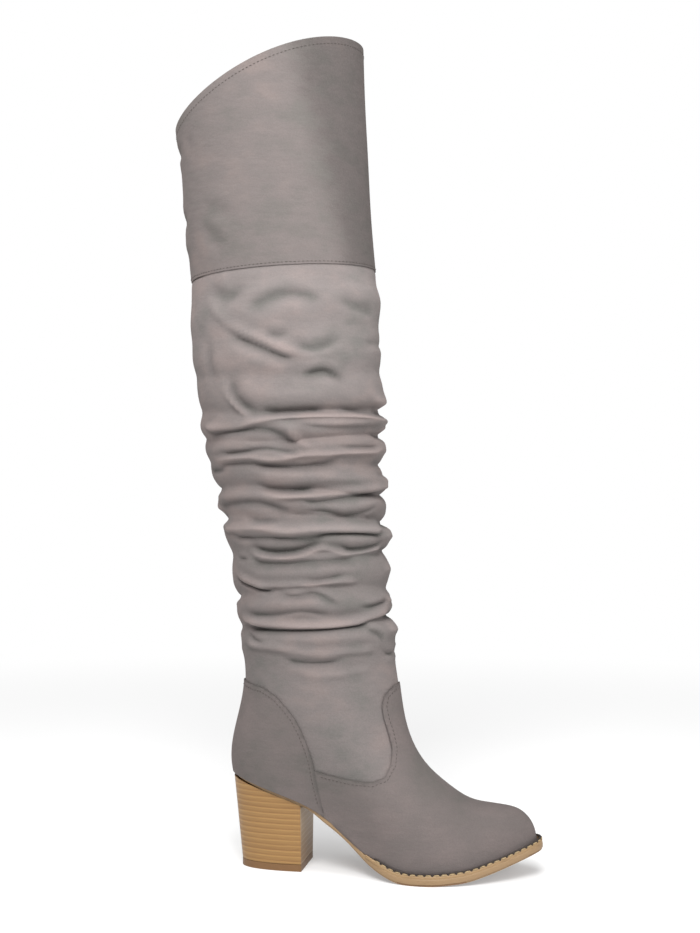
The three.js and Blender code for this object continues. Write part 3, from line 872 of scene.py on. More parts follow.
@dataclass(frozen=True)
class Folds:
    """The creases of the slouched shaft, seen on the outer side and answered on the inner side.

    Attributes:
        outer: The creases that the outer side shows.
        cuff: Those of the cuff.
        back: Those across the back.
        front: Those across the front.
        inner_depth: How deep the inner side's creases are next to the outer side's.
        inner_above: The height in millimetres above which the inner side has creases.
        inner_slide: How far round they are moved at most, in degrees.
        inner_shift: How far up they are moved at most, in millimetres.
        deeper: How much deeper every crease is pressed than is stated.
        starts: The heights between which the creases fade in, in millimetres.
        ends: The heights between which the suede's hang fades out, under the cuff.
        deepest: How far in the suede moves at most, in millimetres.
        highest: How far out it moves at most.
        hang: How far up or down it moves at most.
    """

    outer: tuple[Crease, ...] = (
        Crease(((134, 427), (116, 417), (104, 426)), 1.8, 6, 5),
        Crease(((106, 406), (88, 416), (72, 418), (56, 411)), 2.2, 4, 5.5),
        Crease(((50, 417), (38, 411), (10, 406)), 1.6, 7, 3),
        Crease(((132, 419), (124, 405), (106, 391), (90, 384), (72, 372)), -0.9, 3.4, 2.2),
        Crease(((118, 393), (102, 385), (88, 377), (72, 370)), 2.8, 2.2, 5),
        Crease(((94, 391), (86, 389), (78, 391)), 1.8, 3, 3),
        Crease(((80, 386), (66, 379), (44, 387)), 2, 4.5, 2.6),
        Crease(((74, 356), (66, 363), (56, 364), (42, 354)), 2.8, 2.4, 4.2),
        Crease(((134, 391), (134, 375), (134, 353)), 1.2, 4, 4),
        Crease(((120, 363), (116, 347), (108, 338), (100, 333)), 2.6, 5.5, 2.6),
        Crease(((102, 334), (82, 335), (68, 336), (56, 336)), 2.7, 4.8, 2),
        Crease(((50, 336), (34, 335), (14, 333), (-30, 333)), 1.8, 3.4, 1.6),
        Crease(((154, 326), (120, 325), (102, 329), (78, 331), (50, 332), (-6, 332)), -1.7, 2, 1.6),
        Crease(((122, 350), (114, 336), (104, 330)), -1.3, 1.8, 1.8),
        Crease(((84, 329), (80, 318), (68, 305)), -1.5, 2.2, 2.2),
        Crease(((80, 326), (66, 324), (44, 324), (-30, 330)), 1.6, 1.6, 3.2),
        Crease(((150, 320), (122, 323), (100, 323), (88, 319), (76, 308)), 3, 3, 5),
        Crease(((138, 305), (116, 306), (98, 308), (76, 304)), 2.4, 4, 1.6),
        Crease(((148, 300), (114, 302), (90, 301), (70, 304), (10, 307)), -1.7, 1.8, 1.6),
        Crease(((56, 310), (38, 309), (10, 310)), 1.3, 3, 1.5),
        Crease(((112, 298), (84, 296), (66, 298), (50, 301)), 2.2, 1.8, 4.6),
        Crease(((170, 294), (144, 294), (132, 296)), 2.2, 3, 3),
        Crease(((114, 282), (96, 279), (82, 279), (68, 281)), 2.4, 4.5, 2.2),
        Crease(((104, 275), (86, 274), (54, 278), (-6, 282)), -1.6, 2.2, 1.8),
        Crease(((84, 272), (70, 271), (48, 274), (10, 279)), 2.2, 1.8, 3.6),
        Crease(((168, 268), (126, 271), (106, 270), (88, 262)), 2.6, 2.6, 4.6),
        Crease(((82, 263), (66, 264), (48, 261), (20, 267)), 1.7, 2, 2),
        Crease(((128, 258), (110, 256), (92, 258)), 1.8, 3, 2),
        Crease(((160, 250), (116, 252), (94, 250), (68, 252), (14, 251)), -2, 3, 1.6),
        Crease(((144, 246), (110, 246), (84, 246), (66, 249), (40, 249), (14, 246)), 2.8, 1.6, 3.4),
        Crease(((128, 239), (106, 235), (86, 237), (66, 245)), 2.8, 4.5, 2.4),
        Crease(((60, 241), (50, 237), (34, 238), (12, 242)), 2.2, 2.6, 1.8),
        Crease(((132, 234), (106, 232), (88, 233), (70, 237), (50, 234), (10, 238)), -1.6, 1.6, 2.2),
        Crease(((130, 228), (106, 227), (80, 228), (44, 230)), 2, 1.8, 5),
        Crease(((148, 229), (138, 229), (130, 228)), 1.6, 1.6, 1.8),
        Crease(((88, 213), (76, 214), (66, 216), (52, 219)), 1.5, 3, 1.6),
        Crease(((148, 218), (128, 212), (116, 210), (88, 211), (66, 213), (42, 213)), -1.4, 2.2, 1.6),
        Crease(((154, 216), (136, 211), (122, 208), (110, 205)), 2.6, 1.4, 1.9),
        Crease(((110, 205), (94, 203), (78, 205), (60, 194)), 2, 1.8, 4),
        Crease(((48, 194), (32, 196), (6, 199)), 2.2, 1.8, 2.4),
        Crease(((142, 188), (114, 189), (90, 192), (68, 189)), 1.6, 3.4, 1.6),
        Crease(((154, 184), (114, 183), (86, 183), (60, 184), (36, 187), (8, 191)), -2.1, 2.8, 1.5),
        Crease(((144, 180), (114, 179), (84, 180), (60, 182), (36, 184)), 2.7, 1.6, 4.4),
        Crease(((146, 176), (134, 171), (120, 168)), 1.8, 1.5, 2.2),
        Crease(((46, 179), (32, 175), (24, 166)), 2.4, 2.4, 3),
        Crease(((30, 163), (20, 161), (2, 159)), 2.2, 1.6, 2.2),
        Crease(((150, 167), (116, 165), (84, 162), (60, 163), (32, 164)), -1.4, 2.6, 1.8),
        Crease(((112, 158), (88, 156), (62, 158)), 2.4, 1.6, 3.4),
        Crease(((98, 147), (86, 145), (68, 147), (38, 151)), -1, 2.4, 2.2),
        Crease(((102, 144), (82, 142), (58, 143)), 1.4, 1.8, 3),
    )
    cuff: tuple[Crease, ...] = (
        Crease(((134, 484), (118, 480), (104, 475)), 0.8, 5, 4, 0.4, 0.0),
        Crease(((136, 473), (124, 461), (112, 450)), 1.0, 5, 5, 0.4, 0.0),
        Crease(((142, 539), (140, 534), (136, 529)), 0.7, 4, 4, 0.4, 0.0),
        Crease(((-70, 470), (-95, 462), (-120, 466)), 0.8, 6, 5, 0.4, 0.0),
        Crease(((150, 530), (180, 527), (215, 531)), 1.2, 5, 3, 0.4, 0.0),
        Crease(((150, 481), (178, 478), (210, 482)), 1.2, 5, 4, 0.4, 0.0),
        Crease(((150, 463), (178, 461), (210, 464)), -1.0, 6, 5, 0.2, 0.0),
    )
    back: tuple[Crease, ...] = (
        Crease(((156, 280), (178, 279), (210, 283)), 2.4, 4, 2.2),
        Crease(((150, 258), (178, 256), (214, 262)), 2.2, 4, 2),
        Crease(((154, 201), (180, 199), (214, 205)), 2.4, 4, 2.2),
        Crease(((150, 268), (178, 267), (206, 272)), -1.6, 4, 3),
        Crease(((160, 318), (188, 322), (222, 316)), 1.6, 4, 2.6),
        Crease(((160, 168), (180, 166), (206, 169)), 1.2, 3, 3),
    )
    front: tuple[Crease, ...] = (
        Crease(((30, 384), (0, 386), (-30, 382)), 1.0, 3.4, 2.6),
        Crease(((26, 345), (-2, 344), (-40, 348)), -1.8, 4, 3),
        Crease(((20, 336), (-2, 336), (-44, 340)), 1.6, 3, 1.8),
        Crease(((20, 327), (-6, 326), (-40, 329)), -1.6, 3, 3),
        Crease(((24, 318), (-4, 318), (-40, 315)), 2.0, 2.6, 2.2),
        Crease(((24, 309), (-4, 309), (-40, 305)), -1.2, 3, 3),
        Crease(((24, 299), (-4, 298), (-40, 296)), 1.6, 3, 2.6),
        Crease(((22, 290), (-4, 290), (-40, 292)), 1.6, 3.4, 1.8),
        Crease(((20, 253), (-4, 253), (-40, 257)), 2.2, 3, 1.6),
        Crease(((20, 246), (-4, 246), (-40, 249)), -1.6, 4, 3),
        Crease(((24, 236), (-4, 235), (-40, 232)), 1.8, 3, 2.6),
        Crease(((20, 222), (-4, 222), (-40, 226)), -1.2, 5, 4),
        Crease(((18, 200), (-4, 199), (-40, 203)), -1.2, 3, 2.4),
        Crease(((20, 187), (-4, 187), (-40, 190)), 2.2, 3, 2),
        Crease(((24, 179), (-4, 178), (-40, 181)), -1.8, 4, 4),
    )
    inner_depth: float = 0.9
    inner_above: float = 148.0
    inner_slide: float = 7.0
    inner_shift: float = 4.5
    deeper: float = 1.05
    starts: tuple[float, float] = (138.0, 150.0)
    ends: tuple[float, float] = (430.0, 452.0)
    deepest: float = 4.6
    highest: float = 3.2
    hang: float = 3.0

    def all_of_them(self) -> list[Crease]:
        """Every crease, those of the inner side among them.

        Returns:
            The creases.
        """
        inner = []
        for number, crease in enumerate(self.outer):
            shift = self.inner_shift * math.sin(2.1 * number)
            slide = self.inner_slide * math.sin(1.3 * number + 0.6)
            line = tuple((slide - turn, height + shift) for turn, height in reversed(crease.line) if turn > 0)
            if len(line) > 1 and min(height for _, height in line) > self.inner_above:
                inner.append(replace(crease, line=line, depth=crease.depth * self.inner_depth))
        return [*self.outer, *self.cuff, *self.back, *self.front, *inner]

    def press(self, points: np.ndarray, form: ShaftForm) -> tuple[np.ndarray, np.ndarray]:
        """Presses the creases into a skin of the shaft.

        Args:
            points: Rows of X, Y, Z in metres.
            form: The shaft's own sizes.

        Returns:
            The moved points, and how far each moved out, in millimetres.
        """
        turns, way = form.turns(points)
        heights = points[:, 2] / MM
        out = np.zeros(len(points))
        up = np.zeros(len(points))
        for crease in self.all_of_them():
            crease = replace(crease, depth=crease.depth * self.deeper)
            past_back = max(turn for turn, _ in crease.line) > 180
            moved, lifted = crease.press(np.where((turns < 0) & past_back, turns + 360, turns), heights)
            out += moved
            up += lifted
        live = rise(heights, *self.starts)
        out = np.clip(out, -self.deepest, self.highest) * live
        low, high = self.ends
        up = np.clip(up, -self.hang, self.hang) * live * rise(-heights, -high, -low)
        pressed = points + way * (out * MM)[:, None]
        pressed[:, 2] += up * MM
        return pressed, out


@dataclass(frozen=True)
class ToeBreak:
    """The flat where the foot bends, and the fuller toe box ahead of it.

    Attributes:
        bend: Where the flat is, how far it reaches and how far it sinks, in millimetres.
        box: The same of the toe box, which rises.
        fixed: Below this height nothing moves.
        free: Above this height it moves fully.
    """

    bend: tuple[float, float, float] = (147, 16.5, -3.5)
    box: tuple[float, float, float] = (184, 12, 2.2)
    fixed: float = 12
    free: float = 44

    def press(self, points: np.ndarray) -> np.ndarray:
        """Moves the skin over the toes.

        Args:
            points: Rows of X, Y, Z in metres.

        Returns:
            The moved points.
        """
        moved = points.copy()
        along = points[:, 0] / MM
        live = rise(points[:, 2] / MM, self.fixed, self.free)
        for middle, reach, lift in (self.bend, self.box):
            moved[:, 2] += lift * MM * live * np.exp(-(((along - middle) / reach) ** 2))
        return moved


@dataclass
class Shaft:
    """The suede upper and the cuff band round its top.

    Attributes:
        form: The shaft's own sizes.
        folds: Its creases.
        toe: The shape over its toes.
        suede: The finish of the upper.
        band: The finish of the cuff.
        lining: The finish inside.
        open_above: The height in millimetres above which a face may look out over the collar's low back.
        off_face: How far off a face the look across the boot starts, in millimetres.
        roomy: The least distance across its inside, in millimetres.
        more_rows: The heights between which the upper's skin gets more rows, in millimetres.
        fold_span: The travel in millimetres that the fold attribute covers from 0 to 1.
    """

    form: ShaftForm
    folds: Folds
    toe: ToeBreak
    suede: bpy.types.Material
    band: bpy.types.Material
    lining: bpy.types.Material
    open_above: float = 450.0
    off_face: float = 0.4
    roomy: float = 14.0
    more_rows: tuple[float, float] = (142.0, 430.0)
    fold_span: float = 5.0

    def _facing(self, form: bmesh.types.BMesh) -> None:
        """Numbers the faces that look into the boot 1, and the others 0.

        Args:
            form: The upper or the cuff.
        """
        tree = BVHTree.FromBMesh(form)
        high = [vert.co for vert in form.verts if vert.co.z > self.open_above * MM]
        middle = sum(high, Vector()) / len(high)
        for face in form.faces:
            centre = face.calc_center_median()
            hit = tree.ray_cast(centre + face.normal * self.off_face * MM, face.normal)
            rim = abs(face.normal.z) > 0.9
            opposite = hit[0] is not None and hit[1].dot(face.normal) < 0 and hit[3] > self.roomy * MM
            upright = centre.z > self.open_above * MM and abs(face.normal.z) < 0.5
            inward = upright and (middle - centre).xy.dot(face.normal.xy) > 0
            face.material_index = int((opposite and not rim) or inward)

    def _skin(self, node: str, levels: int, corner: float) -> bpy.types.Mesh:
        """Refines a soft node and presses the creases into it.

        Args:
            node: The CAD node.
            levels: How many times it is divided.
            corner: The angle in degrees past which an edge stays crisp.

        Returns:
            The skin, with the depth of its folds as an attribute.
        """
        form = merged_copy(node)
        self._facing(form)
        mesh = refined(form, levels, corner)
        if node == "upper":
            mesh = with_more_rows(mesh, *self.more_rows)
        pressed, out = self.folds.press(mesh_points(mesh), self.form)
        set_points(mesh, self.toe.press(pressed))
        # The fold attribute also drives the suede's painted highlight on ridges and painted shade in troughs.
        fold = mesh.attributes.new("fold", "FLOAT", "POINT")
        fold.data.foreach_set("value", np.clip(0.5 + out / self.fold_span, 0, 1))
        return mesh

    def build(self) -> tuple[bpy.types.Object, bpy.types.Object]:
        """Builds both pieces.

        Returns:
            The upper and the cuff.
        """
        upper = dressed("upper_suede", self._skin("upper", 2, 75), (self.suede, self.lining), ("upper",), 80)
        cuff = dressed("cuff_band", self._skin("cuff", 3, 30), (self.band, self.lining), ("cuff",), 35)
        return upper, cuff


# Panels and stitches

# How far outside the boot's middle a look at its skin starts, in metres
FAR = 0.2


@dataclass(frozen=True)
class SideLine:
    """A seam as it is drawn on the pattern's side view.

    Attributes:
        points: Its (X, Z) points in millimetres.
    """

    points: tuple[tuple[float, float], ...]

    def moved(self, by: float) -> "SideLine":
        """The same line, moved to its left side.

        Args:
            by: How far, in millimetres.

        Returns:
            The moved line.
        """
        made = []
        last = len(self.points) - 1
        for number, (x, z) in enumerate(self.points):
            before = self.points[max(number - 1, 0)]
            after = self.points[min(number + 1, last)]
            run = math.hypot(after[0] - before[0], after[1] - before[1])
            made.append((x - by * (after[1] - before[1]) / run, z + by * (after[0] - before[0]) / run))
        return SideLine(tuple(made))


VAMP_EDGE = SideLine(
    (
        (106.8, 138.9), (94.4, 136.5), (88.5, 130.2), (87.2, 122.5), (88.8, 113.4), (92.1, 102.9), (94.9, 92.4),
        (94.9, 81.9), (91.0, 74.2), (82.0, 71.1), (66.2, 71.8), (50.4, 74.2), (32.4, 77.7),
    )
)
COUNTER_EDGE = SideLine(
    (
        (-42.0, 140.7), (-19.5, 137.9), (0.4, 135.1), (11.6, 129.5), (19.5, 121.8), (25.6, 114.8), (30.6, 105.7),
        (34.6, 95.9), (38.5, 83.3), (40.1, 72.1), (41.9, 61.6), (44.8, 49.0), (47.0, 28.0),
    )
)


@dataclass(frozen=True)
class Stitches:
    """A row of thread stitches that lies on a skin.

    Attributes:
        length: A stitch's length in millimetres.
        pitch: The distance from one stitch to the next.
        thick: The thread's thickness.
        sunk: The share of its thickness that lies below the skin.
        shift: The share of the pitch by which the row starts late.
    """

    length: float = 1.9
    pitch: float = 3.0
    thick: float = 0.5
    sunk: float = 0.25
    shift: float = 0.0

    def sew(self, form: bmesh.types.BMesh, path: list[Vector], skin: BVHTree) -> int:
        """Adds the stitches of one row.

        Args:
            form: Where the stitches go.
            path: Points on the skin that the row follows.
            skin: The skin.

        Returns:
            How many stitches it has.
        """
        runs = [0.0]
        for here, there in zip(path, path[1:]):
            runs.append(runs[-1] + (there - here).length)
        count = int(runs[-1] / (self.pitch * MM))
        for number in range(count):
            middle = (number + 0.5 + self.shift) / (count + 1) * runs[-1]
            after = next(k for k in range(1, len(runs)) if runs[k] >= middle)
            share = (middle - runs[after - 1]) / max(runs[after] - runs[after - 1], 1e-9)
            spot = path[after - 1].lerp(path[after], share)
            along = (path[after] - path[after - 1]).normalized()
            place, up, _, _ = skin.find_nearest(spot)
            along = (along - up * along.dot(up)).normalized()
            side = up.cross(along)
            size = Matrix.Diagonal((self.thick * MM, self.thick * MM, self.length * MM)).to_4x4()
            turn = Matrix((side, up, along)).transposed().to_4x4()
            centre = place + up * self.thick * (0.5 - self.sunk) * MM
            matrix = Matrix.Translation(centre) @ turn @ size
            bmesh.ops.create_uvsphere(form, u_segments=6, v_segments=4, radius=0.5, matrix=matrix)
        return count


@dataclass
class Panels:
    """The vamp and the heel counter, cut from the upper's own skin, with the rows of stitches.

    Attributes:
        form: The shaft's own sizes.
        upper: The finished upper.
        cuff: The finished cuff.
        suede: The panels' finish.
        thread: The seams' thread.
        clear: How far the panels stand off the upper, in millimetres.
        thick: Their thickness.
        ankle: The height in millimetres that they stay under.
        vamp_row: How far the vamp's stitches lie from its edge, to the left of its line.
        counter_row: The same for the counter.
        seam_row: How far the cuff's lower row lies above the seam.
        collar_row: How far its upper row lies below the collar.
    """

    form: ShaftForm
    upper: bpy.types.Object
    cuff: bpy.types.Object
    suede: bpy.types.Material
    thread: bpy.types.Material
    clear: float = 0.25
    thick: float = 0.95
    ankle: float = 146.0
    vamp_row: float = 3.0
    counter_row: float = -3.2
    seam_row: float = 2.6
    collar_row: float = 5.2

    def _cutter(self, outline: list[tuple[float, float]]) -> bpy.types.Object:
        """A block with the panel's outline in side view.

        Args:
            outline: Its corners as (X, Z) in millimetres.

        Returns:
            The block.
        """
        form = bmesh.new()
        corners = [form.verts.new((x * MM, -0.12, z * MM)) for x, z in outline]
        face = form.faces.new(corners)
        grown = bmesh.ops.extrude_face_region(form, geom=[face])
        moved = [part for part in grown["geom"] if isinstance(part, bmesh.types.BMVert)]
        bmesh.ops.translate(form, verts=moved, vec=(0, 0.24, 0))
        bmesh.ops.recalc_face_normals(form, faces=form.faces)
        block = bpy.data.objects.new("cutter", to_mesh(form, "cutter"))
        bpy.context.collection.objects.link(block)
        return block

    def _sheet(self, low: float, high: float) -> bpy.types.Mesh:
        """The upper's outer foot skin as a thin closed sheet.

        Args:
            low: Where it starts along X, in millimetres.
            high: Where it ends.

        Returns:
            The sheet.
        """
        form = bmesh.new()
        form.from_mesh(self.upper.data)
        outer = [
            face
            for face in form.faces
            if face.material_index == 0
            and face.normal.z > -0.8
            and max(vert.co.z for vert in face.verts) < self.ankle * MM
            and low * MM < face.calc_center_median().x < high * MM
        ]
        keep = set(outer)
        bmesh.ops.delete(form, geom=[face for face in form.faces if face not in keep], context="FACES")
        form.normal_update()
        for vert in form.verts:
            vert.co += vert.normal * self.clear * MM
        form.normal_update()
        bmesh.ops.solidify(form, geom=form.faces, thickness=-self.thick * MM)
        bmesh.ops.recalc_face_normals(form, faces=form.faces)
        return to_mesh(form, "sheet")

    def _panel(self, name: str, outline: list[tuple[float, float]], reach: tuple[float, float]) -> bpy.types.Object:
        """Builds one panel.

        Args:
            name: The CAD node's name.
            outline: Its outline in side view, in millimetres.
            reach: The part of the foot that it is cut from, along X.

        Returns:
            The panel.
        """
        block = self._cutter(outline)
        settings = {"operation": "INTERSECT", "solver": "EXACT", "object": block}
        mesh = applied(self._sheet(*reach), ("BOOLEAN", settings))
        bpy.data.objects.remove(block)
        return dressed(f"{name}_panel", mesh, (self.suede,), (name,), 50)

    def _drawn(self, line: SideLine, side: Side, skin: BVHTree) -> list[Vector]:
        """Lays a side-view line on a skin.

        Args:
            line: The line.
            side: The side that it is laid on.
            skin: The skin.

        Returns:
            The points where it meets the skin.
        """
        found = []
        parts = 4
        for (x0, z0), (x1, z1) in zip(line.points, line.points[1:]):
            for step in range(parts):
                share = step / parts
                x, z = (x0 + (x1 - x0) * share) * MM, (z0 + (z1 - z0) * share) * MM
                hit = skin.ray_cast(Vector((x, side.value * FAR, z)), Vector((0, -side.value, 0)))
                if hit[0] is not None and hit[0].y * side.value > 0:
                    found.append(hit[0])
        return found

    def _ring(self, skin: BVHTree, height: Callable[[float], float]) -> list[Vector]:
        """Lays a level row round the shaft.

        Args:
            skin: The skin.
            height: The row's height in millimetres at a turn in degrees.

        Returns:
            The closed row's points.
        """
        found = []
        for turn in range(0, 361, 4):
            start = self.form.point(turn, height(turn), 40)
            axis = self.form.point(turn, height(turn), 0)
            hit = skin.ray_cast(start, (axis - start).normalized())
            if hit[0] is not None:
                found.append(hit[0])
        return found

    def build(self) -> list[bpy.types.Object]:
        """Builds the panels and every row of stitches.

        Returns:
            The pieces.
        """
        vamp_outline = [(230.0, 139.5), *VAMP_EDGE.points]
        behind = [point for point in COUNTER_EDGE.moved(-0.6).points if point[1] < 76]
        vamp_outline = [*vamp_outline[:-1], (behind[0][0], 76.5), *behind, (47.6, -20.0), (230.0, -20.0)]
        counter_outline = [*COUNTER_EDGE.points, (47.0, -20.0), (-60.0, -20.0), (-60.0, 140.7)]
        vamp = self._panel("vamp", vamp_outline, (20, 240))
        counter = self._panel("counter", counter_outline, (-60, 80))
        form = bmesh.new()
        row = Stitches()
        for panel, line, by in ((vamp, VAMP_EDGE, self.vamp_row), (counter, COUNTER_EDGE, self.counter_row)):
            skin = BVHTree.FromObject(panel, bpy.context.evaluated_depsgraph_get())
            for side in Side:
                row.sew(form, self._drawn(line.moved(by), side, skin), skin)
        skin = BVHTree.FromObject(self.cuff, bpy.context.evaluated_depsgraph_get())
        row.sew(form, self._ring(skin, lambda turn: self.form.seam(turn) + self.seam_row), skin)
        row.sew(form, self._ring(skin, lambda turn: self.form.collar(turn) - self.collar_row), skin)
        seams = dressed("seam_stitches", to_mesh(form, "seams"), (self.thread,))
        return [vamp, counter, seams]


# Sole, welt and heel


@dataclass
class Underfoot:
    """Outsole, welt, heel, lift and insole.

    Attributes:
        sole: The outsole's finish.
        tread: The finish of its tread and its lip.
        welt: The welt's finish.
        stack: The heel's finish.
        lift: The lift's finish.
        lining: The insole's finish.
        thread: The welt's thread.
        painted_shadow_finish: The finish of the painted shade between its loops and of the painted shadow in the
            groove against the vamp.
        loops: The welt's loops of thread.
        gap_shade: Dark specks of painted shade in the gap between each two loops.
        groove_shadow: Painted shadow in the groove against the vamp, laid as one unbroken dark row.
        inset: How far inside the welt's edge they lie, in millimetres.
        groove: How far inside it the painted shadow in the groove against the vamp lies.
        let_down: How far the welt is let down on the outsole.
        lip: How tall the tread's darker lip is.
        forefoot: The forefoot's middle, which the welt lies round, in metres.
        reach: How far from there the look for the welt starts.
        welt_turn: How far round from the toe the welt's thread goes on each side, in degrees.
    """

    sole: bpy.types.Material
    tread: bpy.types.Material
    welt: bpy.types.Material
    stack: bpy.types.Material
    lift: bpy.types.Material
    lining: bpy.types.Material
    thread: bpy.types.Material
    painted_shadow_finish: bpy.types.Material
    loops: Stitches = Stitches(4.2, 5.7, 1.2, 0.25)
    gap_shade: Stitches = Stitches(1.4, 5.7, 1.25, 0.28, 0.5)
    groove_shadow: Stitches = Stitches(7.4, 4.6, 1.8, 0.16)
    inset: float = 0.7
    groove: float = 1.35
    let_down: float = 0.36
    lip: float = 1.7
    forefoot: tuple[float, float, float] = (0.112, 0.0, 0.0)
    reach: float = 0.16
    welt_turn: int = 128

    def _hard(
        self, node: str, name: str, finish: bpy.types.Material, levels: int, corner: float
    ) -> bpy.types.Object:
        """Rounds a hard node between its corners.

        Args:
            node: The CAD node.
            name: The piece's name.
            finish: Its material.
            levels: How many times it is divided.
            corner: The angle in degrees past which an edge stays crisp.

        Returns:
            The piece.
        """
        mesh = refined(merged_copy(node, 30), levels, corner)
        return dressed(name, mesh, (finish,), (node,), 38)

    def _welt(self) -> bpy.types.Object:
        """Builds the welt, let down on the outsole so that the two look like one edge.

        Returns:
            The welt.
        """
        form = merged_copy("welt", 30)
        form.normal_update()
        under = {vert for face in form.faces if face.normal.z < -0.5 for vert in face.verts}
        for vert in under:
            vert.co.z -= self.let_down * MM
        return dressed("welt_band", refined(form, 2, 40), (self.welt,), ("welt",), 38)

    def _outsole(self) -> bpy.types.Object:
        """Builds the outsole, whose tread lip is darker than its edge.

        Returns:
            The outsole.
        """
        form = merged_copy("outsole", 30)
        form.normal_update()
        for face in form.faces:
            level = sorted(vert.co.z for vert in face.verts)
            upright = abs(face.normal.z) < 0.6
            rise = sum(level[2:]) / max(len(level) - 2, 1) - (level[0] + level[1]) / 2
            tread = face.normal.z < -0.6
            face.material_index = int(tread or (upright and rise < self.lip * MM and self._is_lip(face)))
        mesh = refined(form, 2, 32)
        return dressed("sole_unit", mesh, (self.sole, self.tread), ("outsole",), 38)

    def _is_lip(self, face: bmesh.types.BMFace) -> bool:
        """Tells whether an upright face meets the tread at its lower edge.

        Args:
            face: The face.

        Returns:
            True where it does.
        """
        low = min(vert.co.z for vert in face.verts)
        below = [edge for edge in face.edges if min(vert.co.z for vert in edge.verts) < low + 0.3 * MM]
        return any(
            other.normal.z < -0.6 and other.calc_area() > 20 * MM * MM
            for edge in below
            for other in edge.link_faces
        )

    def _welt_stitches(self, welt: bpy.types.Object) -> bpy.types.Object:
        """Lays light loops of thread along the welt's top, with painted shade between each two and a row of painted
        shadow in the groove against the vamp.

        Args:
            welt: The finished welt.

        Returns:
            The loops and the painted shade.
        """
        skin = BVHTree.FromObject(welt, bpy.context.evaluated_depsgraph_get())
        form = bmesh.new()
        edge, groove = self._row(skin, self.inset), self._row(skin, self.groove)
        count = self.loops.sew(form, edge, skin)
        light = len(form.faces)
        # Dark specks of painted shade between the light loops.
        self.gap_shade.sew(form, edge, skin)
        # A dark row of painted shadow in the groove against the vamp.
        self.groove_shadow.sew(form, groove, skin)
        form.faces.ensure_lookup_table()
        for number in range(light, len(form.faces)):
            form.faces[number].material_index = 1
        log.info("welt: %d loops", count)
        return dressed("welt_stitches", to_mesh(form, "loops"), (self.thread, self.painted_shadow_finish))

    def _row(self, skin: BVHTree, inset: float) -> list[Vector]:
        """Lays a row round the welt.

        Args:
            skin: The welt's skin.
            inset: How far inside its edge the row lies, in millimetres.

        Returns:
            The row's points.
        """
        middle = Vector(self.forefoot)
        found = []
        for turn in range(-self.welt_turn, self.welt_turn + 1, 2):
            way = Vector((math.cos(math.radians(turn)), math.sin(math.radians(turn)), 0))
            spot = self._rim(skin, middle + way * self.reach, -way, inset)
            if spot is not None:
                found.append(spot)
        return found

    def _rim(self, skin: BVHTree, start: Vector, way: Vector, inset: float) -> Vector | None:
        """Finds the welt's top just inside its outer edge.

        Args:
            skin: The welt's skin.
            start: A point outside it in plan.
            way: The level direction towards it.
            inset: How far inside the edge the point lies, in millimetres.

        Returns:
            The point, or nothing where there is no welt.
        """
        height, down, stride = 0.08, Vector((0, 0, -1)), 0.1
        for step in range(int(self.reach / MM / stride)):
            above = start + way * step * stride * MM
            hit = skin.ray_cast(Vector((above.x, above.y, height)), down)
            if hit[0] is not None and hit[1].z > 0.6:
                inside = above + way * inset * MM
                return skin.ray_cast(Vector((inside.x, inside.y, height)), down)[0]
        return None

    def build(self) -> list[bpy.types.Object]:
        """Builds the pieces.

        Returns:
            The pieces.
        """
        welt = self._welt()
        return [
            self._outsole(),
            welt,
            self._welt_stitches(welt),
            self._hard("heel", "heel_block", self.stack, 2, 40),
            self._hard("heel_lift", "heel_tip", self.lift, 2, 40),
            self._hard("insole", "sock", self.lining, 1, 40),
        ]


# Studio


@dataclass(frozen=True)
class Lamp:
    """A soft light on a stand.

    Attributes:
        name: Its name.
        stands: Where it stands, in metres.
        aims: What it points at.
        size: The side of its soft box in metres.
        power: Its power in watts.
    """

    name: str
    stands: tuple[float, float, float]
    aims: tuple[float, float, float]
    size: float
    power: float

    def light(self) -> None:
        """Adds the light."""
        data = bpy.data.lights.new(self.name, "AREA")
        data.size = self.size
        data.energy = self.power
        lamp = bpy.data.objects.new(self.name, data)
        lamp.location = self.stands
        way = Vector(self.aims) - Vector(self.stands)
        lamp.rotation_euler = way.to_track_quat("-Z", "Y").to_euler()
        bpy.context.collection.objects.link(lamp)


